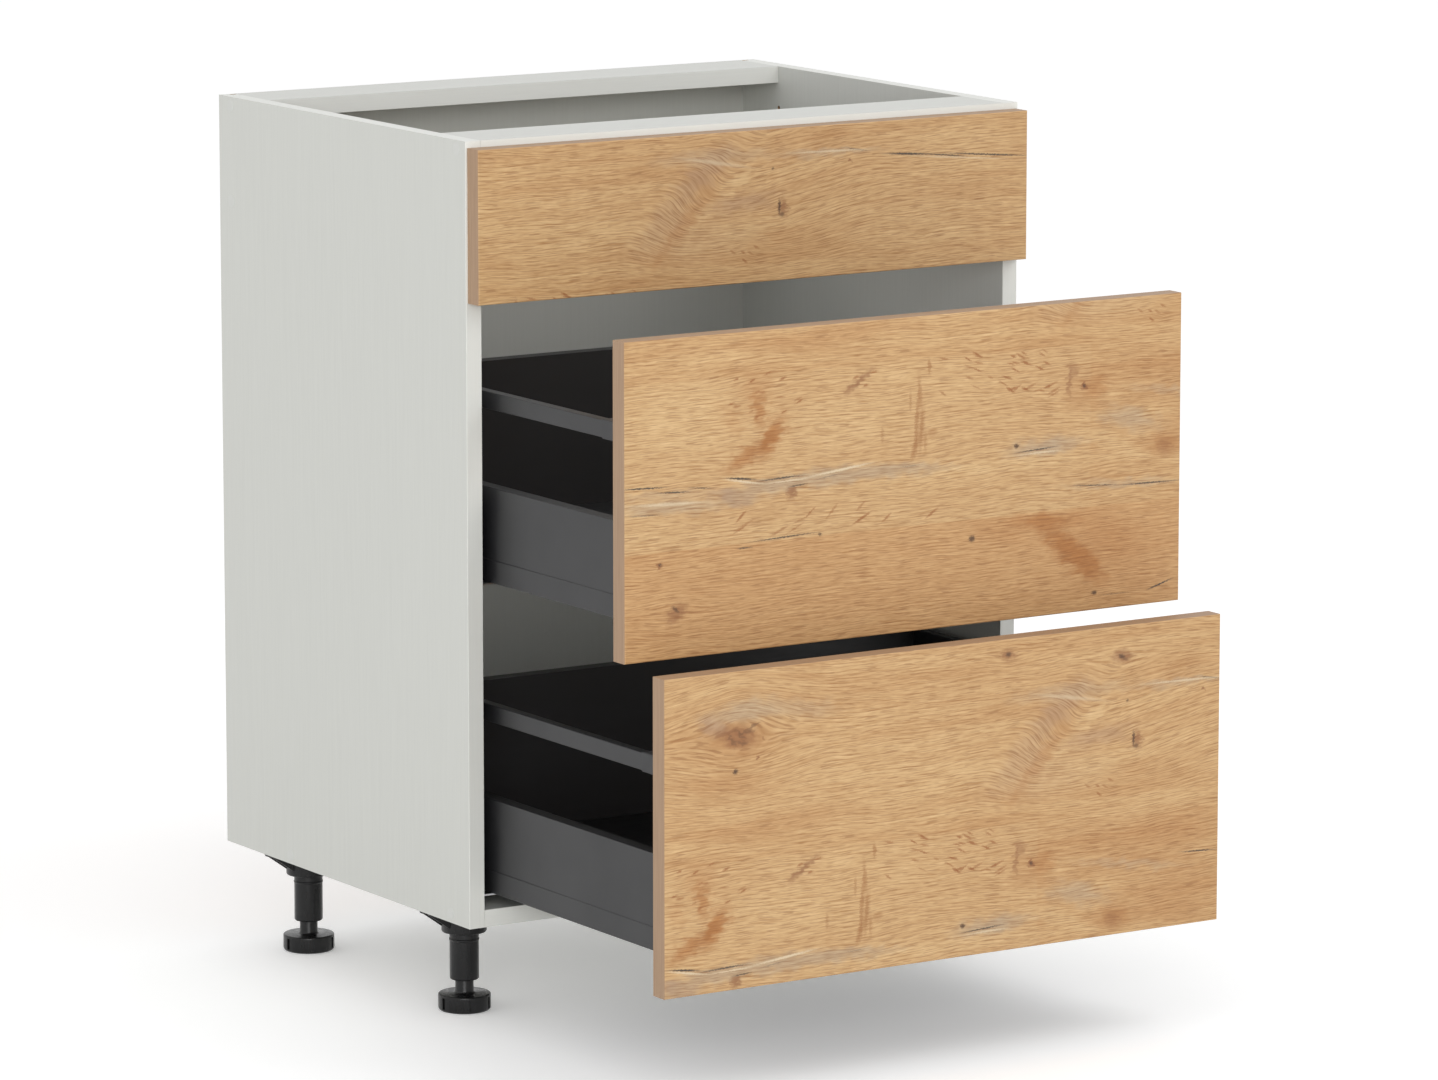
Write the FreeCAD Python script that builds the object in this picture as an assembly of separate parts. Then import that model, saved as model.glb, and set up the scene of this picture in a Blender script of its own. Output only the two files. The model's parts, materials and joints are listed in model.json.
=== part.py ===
import FreeCAD, Part
import math
import os

# Kitchen base unit with a blind top front and two deep drawers, standing on four adjustable legs.
# x runs across the unit (0 in the middle), y from the carcass's front edge towards the wall, z up
# from the floor. Each drawer is modelled closed and then pulled open by its own amount.

Vector = FreeCAD.Vector
axis_x = Vector(1, 0, 0)
axis_y = Vector(0, 1, 0)
axis_z = Vector(0, 0, 1)
origin = Vector(0, 0, 0)

# ---- driving dimensions, millimetres ----
# carcass
body_width = 600.0
body_height = 720.0
body_depth = 458.0
leg_height = 100.0
board = 16.0
band_round = 0.6                 # rounded edge of the banding on the side panels' front edges
rail_depth = 70.0
cross_rail_drop = 91.0           # carcass top to the hidden rear rail's top
hardboard = 3.0
hardboard_inset = 3.4            # carcass's rear edge to the hardboard's rear face
groove_depth = 7.0
groove_play = 0.2
groove_reserve = 1.0             # left free at the groove's bottom
peg_hole = 5.0
peg_hole_depth = 10.0
peg_hole_from_rear = 71.4
peg_hole_drop = 41.0

# fronts
front_thickness = 19.0
front_reveal = 2.0               # front's edge to the carcass's side
front_top_gap = 6.0              # carcass top to the blind front's top
front_gap = 3.0
front_round = 1.2
blind_front_height = 140.0
closing_gap = 0.5                # closed drawer front to the carcass's front edge

# drawers
upper_opening = 246.5            # how far each drawer stands open at rest
lower_opening = 311.5
middle_share = 0.5               # a middle runner member travels half as far as its drawer
drawer_rear_gap = 8.1            # closed drawer to the hardboard
drawer_board = 16.0
side_lift = 31.0                 # drawer front's lower edge to the steel side's lower edge
side_height = 87.0
side_gap = 9.0                   # carcass wall to the steel side's outer skin
side_top_width = 13.5
side_foot_width = 21.2           # outer skin to inner skin beside the drawer base
side_sheet = 1.0
side_bend = 0.8                  # radius of the side's top bends
band_height = 21.0               # lower band of the outer skin, which stands out by band_step
band_step = 0.8
inner_knee = 40.0                # height at which the inner skin starts to lean
inner_shoulder = 76.0            # height at which it is upright again
base_rest = 12.0                 # height of the flange that carries the drawer base
base_flange = 16.0
hem = 3.3
drawer_back_top = 172.0          # above the steel side's lower edge
gallery_width = 10.0
gallery_height = 16.0
gallery_wall = 1.0
gallery_top = 173.5
gallery_inset = 1.2              # steel side's outer skin to the rail's outer face
connector_length = 56.0
connector_wall = 0.9
connector_floor = 8.0            # drawer front to the rail's end inside the connector
connector_plug = 8.0             # pin that holds the connector in the drawer front
connector_plug_length = 10.0
seat_play = 0.3                  # pieces of one drawer to each other

# runners
runner_sheet = 1.5
runner_setback = 3.0             # carcass's front edge to the cabinet member
runner_rear_gap = 8.6            # cabinet member to the hardboard
runner_wall_height = 38.0
runner_foot_drop = 2.5           # how far the cabinet member hangs under the steel side
track_play = 2.2                 # cabinet member to the steel side's inner skin
track_height = 10.0
track_lip = 7.0
drawer_member_setback = 5.0
drawer_member_top = 26.0
drawer_member_outer_play = 0.6   # to the steel side's outer skin
drawer_member_inner_play = 1.2   # to its inner skin
drawer_member_foot = 9.0
drawer_member_lip = 5.2
drawer_member_edge = 6.0
middle_setback = 10.0
middle_shorter = 50.0            # middle member's length less than the cabinet member's
middle_web = 17.0                # carcass wall to the middle member's web
middle_foot = 3.0
middle_top = 17.5
middle_play = 1.5                # middle member's foot to the track's upright
middle_top_flange = 4.0
slide_play = 0.15                # nylon block to the steel that it slides in
slide_length = 30.0
slide_spacing = 145.0            # between the two blocks at one end of a middle member
slide_end = 2.0

# drawer brackets
bracket_wall = 2.2
bracket_plate = 2.5
bracket_length = 42.0
rear_plug_length = 27.0
post_width = 14.8
post_top = 175.0
post_bevel = 2.0
ear_width = 24.0
ear_sheet = 1.5
ear_height = 120.0
ear_bevel = 6.0
rail_peg_length = 12.0

# flats that stand for a round form
thin_sides = 6                   # screws, dowels and pins
round_sides = 8                  # caps, peg holes and the leg arms' ends
leg_sides = 16

# fasteners
screw_shank = 3.2
screw_length = 13.0
screw_tip = 3.0
screw_head = 7.0
screw_head_height = 2.0
hole_reserve = 0.5               # how much deeper a blind hole is than what it holds
pilot_play = 0.05                # hole in a board to its screw or dowel, all round
through_play = 0.4               # hole in a sheet to its screw, all round
confirmat_head = 9.6
confirmat_head_height = 3.0
confirmat_shank = 6.4
confirmat_length = 50.0
confirmat_tip = 3.0
cap_diameter = 12.0
cap_height = 0.5
cap_edge = 0.5                   # how much smaller a cap's outer face is, all round
dowel_diameter = 8.0
dowel_length = 30.0
dowel_in_side = 10.0
dowel_from_screw = 34.0
rail_screw_setback = 15.4        # screws that join the rails
rail_screw_from_rear = 22.5
base_screw_setback = 34.0        # screws that join the carcass base
base_screw_from_rear = 125.0
runner_screw_setback = 37.0
runner_screw_from_end = 22.0
runner_screw_shares = [0, 7 / 12, 1]
runner_screw_height = 20.0
tray_screw_setback = 60.0        # screws that hold the drawer base
tray_screw_from_back = 47.5
front_screw_u = 16.0
front_screw_ws = [45.0, 70.0]
ear_screw_ws = [60.0, 140.0]

# angles that hold the blind front
angle_leg = 32.0
angle_height = 60.0
angle_sheet = 2.0
angle_bend = 1.0
angle_drop = 60.0                # carcass top to the angle's top
angle_screw_reach = 19.0         # from the angle's corner
angle_screw_spacing = 30.0

# legs; their heights are measured down from the carcass
leg_from_side = 51.0
front_leg_setback = 97.0
rear_leg_from_rear = 67.0
leg_tube = 27.3
leg_tube_end = 71.0
leg_tube_chamfer = 1.5
leg_collar = 43.0
leg_collar_end = 26.0
leg_flange = 4.0
leg_arm_reach = 46.0
leg_arm_width = 20.0
leg_rib = 8.0
leg_rib_depth = 22.0             # at the tube
leg_rib_reach = 42.0
leg_screw_radius = 37.0
leg_screw_seat = 11.0
spindle = 17.0
spindle_play = 0.3
spindle_top = 34.0
spindle_flare = 2.5
spindle_bore_top = 14.0
foot_disc = 49.0
foot_disc_height = 16.0
foot_bottom_edge = 3.0
foot_rim = 1.5
foot_notches = 6
foot_notch_width = 3.7
foot_notch_depth = 1.6
foot_notch_turn = 7.6            # degrees
foot_notch_margin = 2.5          # disc's faces to the notch's ends

# ---- derived places ----
body_bottom = leg_height
body_top = body_bottom + body_height
half_width = body_width / 2
inner_half = half_width - board
hardboard_rear = body_depth - hardboard_inset
hardboard_front = hardboard_rear - hardboard
front_half = half_width - front_reveal
blind_front_bottom = body_top - front_top_gap - blind_front_height
drawer_front_height = (blind_front_bottom - body_bottom - 2 * front_gap) / 2
front_bottoms = {"lower": body_bottom, "upper": body_bottom + drawer_front_height + front_gap}
drawer_start = -closing_gap
drawer_rear = hardboard_front - drawer_rear_gap
drawer_back_front = drawer_rear - drawer_board
base_top = base_rest + drawer_board
side_top_inner = side_gap + side_top_width
side_foot = side_gap + side_foot_width
post_inner = side_gap + post_width
gallery_left = side_gap + gallery_inset
gallery_right = gallery_left + gallery_width
gallery_bottom = gallery_top - gallery_height
runner_end = hardboard_front - runner_rear_gap
middle_length = runner_end - runner_setback - middle_shorter
track_right = side_foot - side_sheet - track_play
drawer_member_left = side_gap + side_sheet + drawer_member_outer_play
drawer_member_right = side_foot - side_sheet - drawer_member_inner_play
frame_shift = Vector(0, (lower_opening + closing_gap + front_thickness - body_depth) / 2, 0)


# ---- shape helpers ----
def block(x_low, x_high, y_low, y_high, z_low, z_high):
    return Part.makeBox(x_high - x_low, y_high - y_low, z_high - z_low, Vector(x_low, y_low, z_low))


def mirrored(shape):
    return shape.mirror(origin, axis_x)


def both_hands(shape):
    return [shape, mirrored(shape)]


def placed(shape, move):
    copy = shape.copy()
    copy.translate(move)
    return copy


def joined(shapes):
    return shapes[0].multiFuse(shapes[1:]).removeSplitter()


def rounded_where(shape, radius, picks):
    return shape.makeFillet(radius, [edge for edge in shape.Edges if picks(edge.BoundBox)])


def bevelled_where(shape, size, picks):
    return shape.makeChamfer(size, [edge for edge in shape.Edges if picks(edge.BoundBox)])


def face_through(corners):
    apart = [corner for index, corner in enumerate(corners)
             if corner.distanceToPoint(corners[index - 1]) > 1e-6]
    return Part.Face(Part.makePolygon(apart + apart[:1]))


def drawn_along_y(outline, y_low, y_high):
    corners = [Vector(u, y_low, w) for u, w in outline]
    return face_through(corners).extrude(Vector(0, y_high - y_low, 0))


def folded(points, sheet, side):
    """Both faces of a folded sheet; side is 1 for a sheet left of the line and -1 for right of it."""
    normals = []
    for start, end in zip(points, points[1:]):
        run = end[0] - start[0]
        rise = end[1] - start[1]
        length = math.hypot(run, rise)
        normals.append((-rise / length * side, run / length * side))
    offset = []
    for index, (u, w) in enumerate(points):
        before = normals[max(index - 1, 0)]
        after = normals[min(index, len(normals) - 1)]
        share = sheet / (1 + before[0] * after[0] + before[1] * after[1])
        offset.append((u + (before[0] + after[0]) * share, w + (before[1] + after[1]) * share))
    return points + offset[::-1]


def ring_of(sides, radius, height):
    angles = [2 * math.pi * (index + 0.5) / sides for index in range(sides)]
    return [Vector(radius * math.cos(angle), radius * math.sin(angle), height) for angle in angles]


def many_sided(profile, sides, place, direction):
    """A turned form drawn with flats, from (radius, height) points; its height runs along direction."""
    rings = [ring_of(sides, radius, height) for radius, height in profile]
    faces = [face_through(ring) for ring in (rings[0], rings[-1]) if ring[0].distanceToPoint(ring[1]) > 0]
    for low, high in zip(rings, rings[1:]):
        for index in range(sides):
            faces.append(face_through([low[index - 1], low[index], high[index], high[index - 1]]))
    solid = Part.Solid(Part.makeShell(faces)).removeSplitter()
    if solid.Volume < 0:
        solid.reverse()
    solid.Placement = FreeCAD.Placement(place, FreeCAD.Rotation(axis_z, direction))
    return solid


# ---- fasteners; place is on the board's face and direction is the way that the fastener is driven ----
def wood_screw(place, direction, sheet):
    """A screw whose head stands on the sheet that it holds to the board."""
    shank = screw_shank / 2
    head = screw_head / 2
    profile = [(0, screw_length), (shank, screw_length - screw_tip), (shank, 0), (head, 0),
               (head, -screw_head_height)]
    return many_sided(profile, thin_sides, place - direction * sheet, direction)


def pilot_hole(place, direction):
    radius = screw_shank / 2 + pilot_play
    return many_sided([(radius, 0), (radius, screw_length + hole_reserve)], thin_sides, place, direction)


def sheet_hole(place, direction, sheet):
    radius = screw_shank / 2 + through_play
    return many_sided([(radius, -sheet - 1), (radius, 1)], thin_sides, place, direction)


def confirmat_places():
    rail_z = body_top - board / 2
    base_z = body_bottom + board / 2
    rear_y = body_depth - rail_screw_from_rear
    return [(rail_screw_setback, rail_z), (rear_y, rail_z), (rear_y, rail_z - cross_rail_drop),
            (base_screw_setback, base_z), (body_depth - base_screw_from_rear, base_z)]


def dowel_places():
    front_rail, rear_rail, cross_rail, base_front, base_rear = confirmat_places()
    behind = [(y + dowel_from_screw, z) for y, z in (front_rail, base_front, base_rear)]
    return behind + [(y - dowel_from_screw, z) for y, z in (rear_rail, cross_rail)]


def confirmats(play):
    head = confirmat_head / 2 + play
    shank = confirmat_shank / 2 + play
    end = confirmat_length + play
    profile = [(head, 0), (shank, confirmat_head_height), (shank, end - confirmat_tip), (0, end)]
    solids = []
    for y, z in confirmat_places():
        solids += both_hands(many_sided(profile, thin_sides, Vector(-half_width, y, z), axis_x))
    return solids


def cover_caps():
    radius = cap_diameter / 2
    profile = [(radius, 0), (radius - cap_edge, cap_height)]
    solids = []
    for y, z in confirmat_places():
        solids += both_hands(many_sided(profile, round_sides, Vector(-half_width, y, z), axis_x * -1))
    return solids


def dowels(play):
    radius = dowel_diameter / 2 + play
    profile = [(radius, -dowel_in_side - play), (radius, dowel_length - dowel_in_side + play)]
    solids = []
    for y, z in dowel_places():
        solids += both_hands(many_sided(profile, thin_sides, Vector(-inner_half, y, z), axis_x))
    return solids


def joint_holes():
    return confirmats(pilot_play) + dowels(pilot_play)


def runner_screw_ys():
    last = runner_end - runner_screw_from_end
    return [runner_screw_setback + (last - runner_screw_setback) * share for share in runner_screw_shares]


def runner_screws():
    heights = [bottom + side_lift + runner_screw_height for bottom in front_bottoms.values()]
    return [(Vector(-inner_half, y, z), axis_x * -1) for z in heights for y in runner_screw_ys()]


def angle_screw_heights():
    middle = body_top - angle_drop - angle_height / 2
    return [middle - angle_screw_spacing / 2, middle + angle_screw_spacing / 2]


def angle_wall_screws():
    return [(Vector(-inner_half, angle_screw_reach, z), axis_x * -1) for z in angle_screw_heights()]


def angle_front_screws():
    return [(Vector(-inner_half + angle_screw_reach, 0, z), axis_y * -1) for z in angle_screw_heights()]


def leg_axes():
    setbacks = {"front": front_leg_setback, "rear": body_depth - rear_leg_from_rear}
    return {end: Vector(-half_width + leg_from_side, y, body_bottom) for end, y in setbacks.items()}


def leg_screws():
    arms = [axis_x, axis_y, axis_y * -1]
    return [(axis + arm * leg_screw_radius, axis_z) for axis in leg_axes().values() for arm in arms]


def carcass_screws():
    held = [(place, runner_sheet) for place in runner_screws()]
    held += [(place, angle_sheet) for place in angle_wall_screws() + angle_front_screws()]
    held += [(place, leg_flange) for place in leg_screws()]
    solids = []
    for (place, direction), sheet in held:
        solids += both_hands(wood_screw(place, direction, sheet))
    return solids


# ---- carcass ----
def hardboard_groove(x_low, x_high, z_low, z_high):
    return block(x_low, x_high, hardboard_front - groove_play, hardboard_rear + groove_play, z_low, z_high)


def side_panel():
    panel = block(-half_width, -inner_half, 0, body_depth, body_bottom, body_top)
    panel = rounded_where(panel, band_round, lambda box: box.YMax < band_round and box.ZLength > board * 2)
    groove = hardboard_groove(-inner_half - groove_depth, -inner_half + 1, body_bottom - 1, body_top + 1)
    pilots = [pilot_hole(place, direction) for place, direction in runner_screws() + angle_wall_screws()]
    peg_place = Vector(-inner_half, body_depth - peg_hole_from_rear, body_top - peg_hole_drop)
    peg = many_sided([(peg_hole / 2, 0), (peg_hole / 2, peg_hole_depth)], round_sides, peg_place, axis_x * -1)
    return panel.cut([groove, peg] + pilots + joint_holes())


def cross_board(y_low, y_high, z_top):
    return block(-inner_half, inner_half, y_low, y_high, z_top - board, z_top)


def base_panel():
    top = body_bottom + board
    groove = hardboard_groove(-half_width, half_width, top - groove_depth, top + 1)
    pilots = []
    for place, direction in leg_screws():
        pilots += both_hands(pilot_hole(place, direction))
    return cross_board(0, body_depth, top).cut([groove] + pilots + joint_holes())


def front_top_rail():
    return cross_board(0, rail_depth, body_top).cut(joint_holes())


def rear_top_rail():
    underside = body_top - board
    groove = hardboard_groove(-half_width, half_width, underside - 1, underside + groove_depth)
    return cross_board(body_depth - rail_depth, body_depth, body_top).cut([groove] + joint_holes())


def rear_cross_rail():
    rail = cross_board(hardboard_front - rail_depth, hardboard_front, body_top - cross_rail_drop)
    return rail.cut(joint_holes())


def back_panel():
    reach = groove_depth - groove_reserve
    return block(-inner_half - reach, inner_half + reach, hardboard_front, hardboard_rear,
                 body_bottom + board - reach, body_top - board + reach)


def front_board(bottom, height, rear_y):
    """A front whose four outer edges are rounded and meet in mitres."""
    face_y = rear_y - front_thickness
    panel = block(-front_half, front_half, face_y, rear_y, bottom, bottom + height)
    upright = rounded_where(panel, front_round,
                            lambda box: box.YMax < face_y + front_round and box.ZLength > height / 2)
    level = rounded_where(panel, front_round,
                          lambda box: box.YMax < face_y + front_round and box.XLength > front_half)
    return upright.common(level)


def blind_front():
    holes = []
    for place, direction in angle_front_screws():
        holes += both_hands(pilot_hole(place, direction))
    return front_board(blind_front_bottom, blind_front_height, 0).cut(holes)


def blind_front_angle():
    corner = Vector(-inner_half, 0, body_top - angle_drop - angle_height)
    outline = folded([(0, angle_leg), (0, 0), (angle_leg, 0)], angle_sheet, 1)
    angle = face_through([corner + Vector(x, y, 0) for x, y in outline]).extrude(axis_z * angle_height)
    inside = corner + Vector(angle_sheet, angle_sheet, angle_height / 2)
    angle = rounded_where(angle, angle_bend, lambda box: box.Center.distanceToPoint(inside) < angle_bend / 2)
    return angle.cut([sheet_hole(place, direction, angle_sheet)
                      for place, direction in angle_wall_screws() + angle_front_screws()])


# ---- legs ----
def leg_arm():
    end = leg_arm_reach - leg_arm_width / 2
    bar = block(0, end, -leg_arm_width / 2, leg_arm_width / 2, -leg_flange, 0)
    corner = leg_arm_width / 2 / math.cos(math.pi / round_sides)
    tip = many_sided([(corner, -leg_flange), (corner, 0)], round_sides, Vector(end, 0, 0), axis_z)
    return bar.fuse(tip)


def leg_rib_web():
    outline = [(0, 0), (leg_rib_reach, 0), (leg_rib_reach, -leg_flange), (leg_tube / 2, -leg_rib_depth),
               (0, -leg_rib_depth)]
    return drawn_along_y(outline, -leg_rib / 2, leg_rib / 2)


def leg_socket():
    collar = leg_collar / 2
    tube = leg_tube / 2
    outer = [(collar, 0), (collar, -leg_collar_end), (tube, -leg_collar_end),
             (tube, -leg_tube_end + leg_tube_chamfer), (tube - leg_tube_chamfer, -leg_tube_end)]
    pieces = [many_sided(outer, leg_sides, origin, axis_z)]
    for quarter in range(4):
        for piece in (leg_arm(), leg_rib_web()):
            piece.rotate(origin, axis_z, 90 * quarter)
            pieces.append(piece)
    bore = spindle / 2 + spindle_play
    tools = [many_sided([(bore, -leg_tube_end - 1), (bore, -spindle_bore_top)], leg_sides, origin, axis_z)]
    seat = leg_screw_seat / 2
    for arm in (axis_x, axis_y, axis_y * -1):
        place = arm * leg_screw_radius
        tools.append(sheet_hole(place, axis_z, leg_flange))
        tools.append(many_sided([(seat, leg_flange), (seat, leg_rib_depth + 1)], thin_sides, place,
                                axis_z * -1))
    return joined(pieces).cut(tools)


def foot():
    rim = foot_disc / 2
    stem = spindle / 2
    bottom = -leg_height
    top = bottom + foot_disc_height
    profile = [(rim - foot_bottom_edge, bottom), (rim, bottom + foot_bottom_edge), (rim, top - foot_rim),
               (rim - foot_rim, top), (stem + spindle_flare, top), (stem, top + spindle_flare),
               (stem, -spindle_top)]
    notches = []
    for index in range(foot_notches):
        notch = block(rim - foot_notch_depth, rim + 1, -foot_notch_width / 2, foot_notch_width / 2,
                      bottom + foot_notch_margin, top - foot_notch_margin)
        notch.rotate(origin, axis_z, foot_notch_turn + 360 / foot_notches * index)
        notches.append(notch)
    return many_sided(profile, leg_sides, origin, axis_z).cut(notches)


# ---- drawer; u runs from the left carcass wall into the unit, w up from the steel side's lower edge ----
def side_line():
    """The steel side in one line, from the flange under the drawer base to the outer hem."""
    band = side_gap - band_step
    return [(side_foot + base_flange, base_rest), (side_foot, base_rest), (side_foot, inner_knee),
            (side_top_inner, inner_shoulder), (side_top_inner, side_height), (side_gap, side_height),
            (side_gap, band_height + band_step / 2), (band, band_height - band_step / 2),
            (band, 0), (band + hem, 0)]


def cavity_outline(inset):
    """The room inside the steel side above the runner, less inset at its sides and top."""
    left = side_gap + side_sheet + inset
    low = side_foot - side_sheet - inset
    high = side_top_inner - side_sheet - inset
    top = side_height - side_sheet - inset
    floor = drawer_member_top + seat_play
    return [(left, floor), (low, floor), (low, inner_knee), (high, inner_shoulder), (high, top), (left, top)]


def tray_screws():
    first = tray_screw_setback
    last = drawer_back_front - tray_screw_from_back
    u = side_foot + base_flange / 2
    return [(Vector(u, y, base_rest), axis_z) for y in (first, (first + last) / 2, last)]


def front_screws():
    return [(Vector(front_screw_u, drawer_start, w), axis_y * -1) for w in front_screw_ws]


def ear_screws():
    return [(Vector(post_inner + ear_width / 2, drawer_rear, w), axis_y * -1) for w in ear_screw_ws]


def drawer_screws():
    held = [(tray_screws(), side_sheet), (front_screws(), bracket_plate), (ear_screws(), ear_sheet)]
    return [wood_screw(place, direction, sheet) for places, sheet in held for place, direction in places]


def pilots_in_board(screws):
    """Holes for both drawer sides' screws in a board that spans the drawer."""
    holes = []
    for place, direction in screws:
        holes += both_hands(pilot_hole(place - axis_x * inner_half, direction))
    return holes


def drawer_side():
    side = drawn_along_y(folded(side_line(), side_sheet, 1), drawer_start + seat_play,
                         drawer_back_front - seat_play)
    side = side.cut([sheet_hole(place, direction, side_sheet) for place, direction in tray_screws()])
    return rounded_where(side, side_bend, lambda box: box.ZMin > side_height - side_sheet / 2
                         and box.YLength > bracket_length)


def drawer_base():
    half = inner_half - side_foot - seat_play
    panel = block(-half, half, drawer_start + seat_play, drawer_rear, base_rest, base_top)
    return panel.cut(pilots_in_board(tray_screws()))


def drawer_back():
    half = inner_half - post_inner - seat_play
    panel = block(-half, half, drawer_back_front, drawer_rear, base_top, drawer_back_top)
    return panel.cut(pilots_in_board(ear_screws()))


def connector_pin(play, length):
    radius = connector_plug / 2 + play
    place = Vector((gallery_left + gallery_right) / 2, drawer_start, (gallery_bottom + gallery_top) / 2)
    return many_sided([(radius, 0), (radius, length)], thin_sides, place, axis_y * -1)


def drawer_front():
    panel = front_board(-side_lift, drawer_front_height, drawer_start)
    pin_hole = placed(connector_pin(pilot_play, connector_plug_length + hole_reserve), axis_x * -inner_half)
    return panel.cut(pilots_in_board(front_screws()) + both_hands(pin_hole))


def gallery_rail():
    start = drawer_start + connector_floor
    end = drawer_back_front - seat_play
    tube = block(gallery_left, gallery_right, start, end, gallery_bottom, gallery_top)
    tube = rounded_where(tube, gallery_wall, lambda box: box.YLength > connector_length)
    bore = block(gallery_left + gallery_wall, gallery_right - gallery_wall, start - 1, end + 1,
                 gallery_bottom + gallery_wall, gallery_top - gallery_wall)
    return tube.cut(bore)


def rail_connector():
    wall = connector_wall
    end = drawer_start + connector_length
    body = block(gallery_left - wall, gallery_right + wall, drawer_start, end, gallery_bottom - wall,
                 gallery_top + wall)
    body = bevelled_where(body, wall, lambda box: box.YLength > connector_length / 2)
    play = slide_play / 2
    bore = block(gallery_left - play, gallery_right + play, drawer_start + connector_floor - play, end + 1,
                 gallery_bottom - play, gallery_top + play)
    return body.cut(bore).fuse(connector_pin(0, connector_plug_length))


def front_bracket():
    end = drawer_start + bracket_length
    body = drawn_along_y(cavity_outline(seat_play), drawer_start, end)
    pocket = drawn_along_y(cavity_outline(seat_play + bracket_wall), drawer_start + bracket_plate, end + 1)
    return body.cut([pocket] + [sheet_hole(place, direction, bracket_plate)
                                for place, direction in front_screws()])


def rear_bracket():
    start = drawer_back_front - rear_plug_length
    end = drawer_rear + ear_sheet
    plug = drawn_along_y(cavity_outline(seat_play), start, drawer_back_front)
    pocket = drawn_along_y(cavity_outline(seat_play + bracket_wall), start - 1, drawer_back_front)
    post = block(side_gap, post_inner, drawer_back_front, end, drawer_member_top + seat_play, post_top)
    post = bevelled_where(post, post_bevel, lambda box: box.ZLength > post_top / 2
                          and box.YMin > drawer_rear and box.XMax < side_gap + post_bevel)
    middle = sum(ear_screw_ws) / len(ear_screw_ws)
    ear = block(post_inner - ear_sheet, post_inner + ear_width, drawer_rear, end, middle - ear_height / 2,
                middle + ear_height / 2)
    ear = bevelled_where(ear, ear_bevel, lambda box: box.YLength > ear_sheet / 2 and box.XMin > post_inner)
    grip = gallery_wall + slide_play
    peg = block(gallery_left + grip, gallery_right - grip, drawer_back_front - rail_peg_length,
                drawer_back_front + 1, gallery_bottom + grip, gallery_top - grip)
    holes = [sheet_hole(place, direction, ear_sheet) for place, direction in ear_screws()]
    return joined([plug.cut(pocket), post, ear, peg]).cut(holes)


# ---- runner: three nested folded members; nylon blocks on the middle one slide in the other two ----
def cabinet_member():
    foot_w = -runner_foot_drop
    line = [(0, runner_wall_height), (0, foot_w), (track_right, foot_w), (track_right, track_height),
            (track_right - track_lip, track_height)]
    member = drawn_along_y(folded(line, runner_sheet, 1), runner_setback, runner_end)
    return member.cut([sheet_hole(Vector(0, y, runner_screw_height), axis_x * -1, runner_sheet)
                       for y in runner_screw_ys()])


def drawer_member():
    line = [(drawer_member_left + drawer_member_lip, drawer_member_foot),
            (drawer_member_left, drawer_member_foot), (drawer_member_left, drawer_member_top),
            (drawer_member_right, drawer_member_top),
            (drawer_member_right, drawer_member_top - drawer_member_edge)]
    return drawn_along_y(folded(line, runner_sheet, -1), drawer_member_setback, drawer_back_front - seat_play)


def middle_member():
    foot_end = track_right - runner_sheet - middle_play
    line = [(foot_end, middle_foot), (middle_web, middle_foot), (middle_web, middle_top),
            (middle_web - middle_top_flange, middle_top)]
    return drawn_along_y(folded(line, runner_sheet, -1), middle_setback, middle_setback + middle_length)


def slide_blocks(member):
    """Two blocks at the rear in the cabinet member's track and two at the front in the drawer member."""
    rear = middle_setback + middle_length - slide_length
    front = middle_setback + slide_end
    clear = runner_sheet + slide_play
    blocks = [block(middle_web + runner_sheet, track_right - clear, start, start + slide_length,
                    clear - runner_foot_drop, track_height - clear) for start in (rear - slide_spacing, rear)]
    blocks += [block(drawer_member_left + clear, middle_web, start, start + slide_length,
                     drawer_member_foot + clear, drawer_member_top - clear)
               for start in (front, front + slide_spacing)]
    return [shape.cut(member) for shape in blocks]


# ---- assembly ----
def export(name, solids):
    shape = solids[0] if len(solids) == 1 else Part.makeCompound(solids)
    placed(shape, frame_shift).exportStep("parts/" + name + ".step")


def export_pair(name, left_piece):
    export(name + "_left", [left_piece])
    export(name + "_right", [mirrored(left_piece)])


def export_both(name, left_pieces):
    export(name, [piece for left_piece in left_pieces for piece in both_hands(left_piece)])


def export_carcass():
    export_pair("side_panel", side_panel())
    export("base_panel", [base_panel()])
    export("back_panel", [back_panel()])
    export("front_top_rail", [front_top_rail()])
    export("rear_top_rail", [rear_top_rail()])
    export("rear_cross_rail", [rear_cross_rail()])
    export("blind_front", [blind_front()])
    export_both("blind_front_brackets", [blind_front_angle()])
    export("confirmat_screws", confirmats(0))
    export("screw_cover_caps", cover_caps())
    export("wood_dowels", dowels(0))
    export("carcass_wood_screws", carcass_screws())


def export_legs():
    export_both("leg_sockets", [placed(leg_socket(), axis) for axis in leg_axes().values()])
    for end, axis in leg_axes().items():
        export_pair("foot_" + end, placed(foot(), axis))


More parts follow.
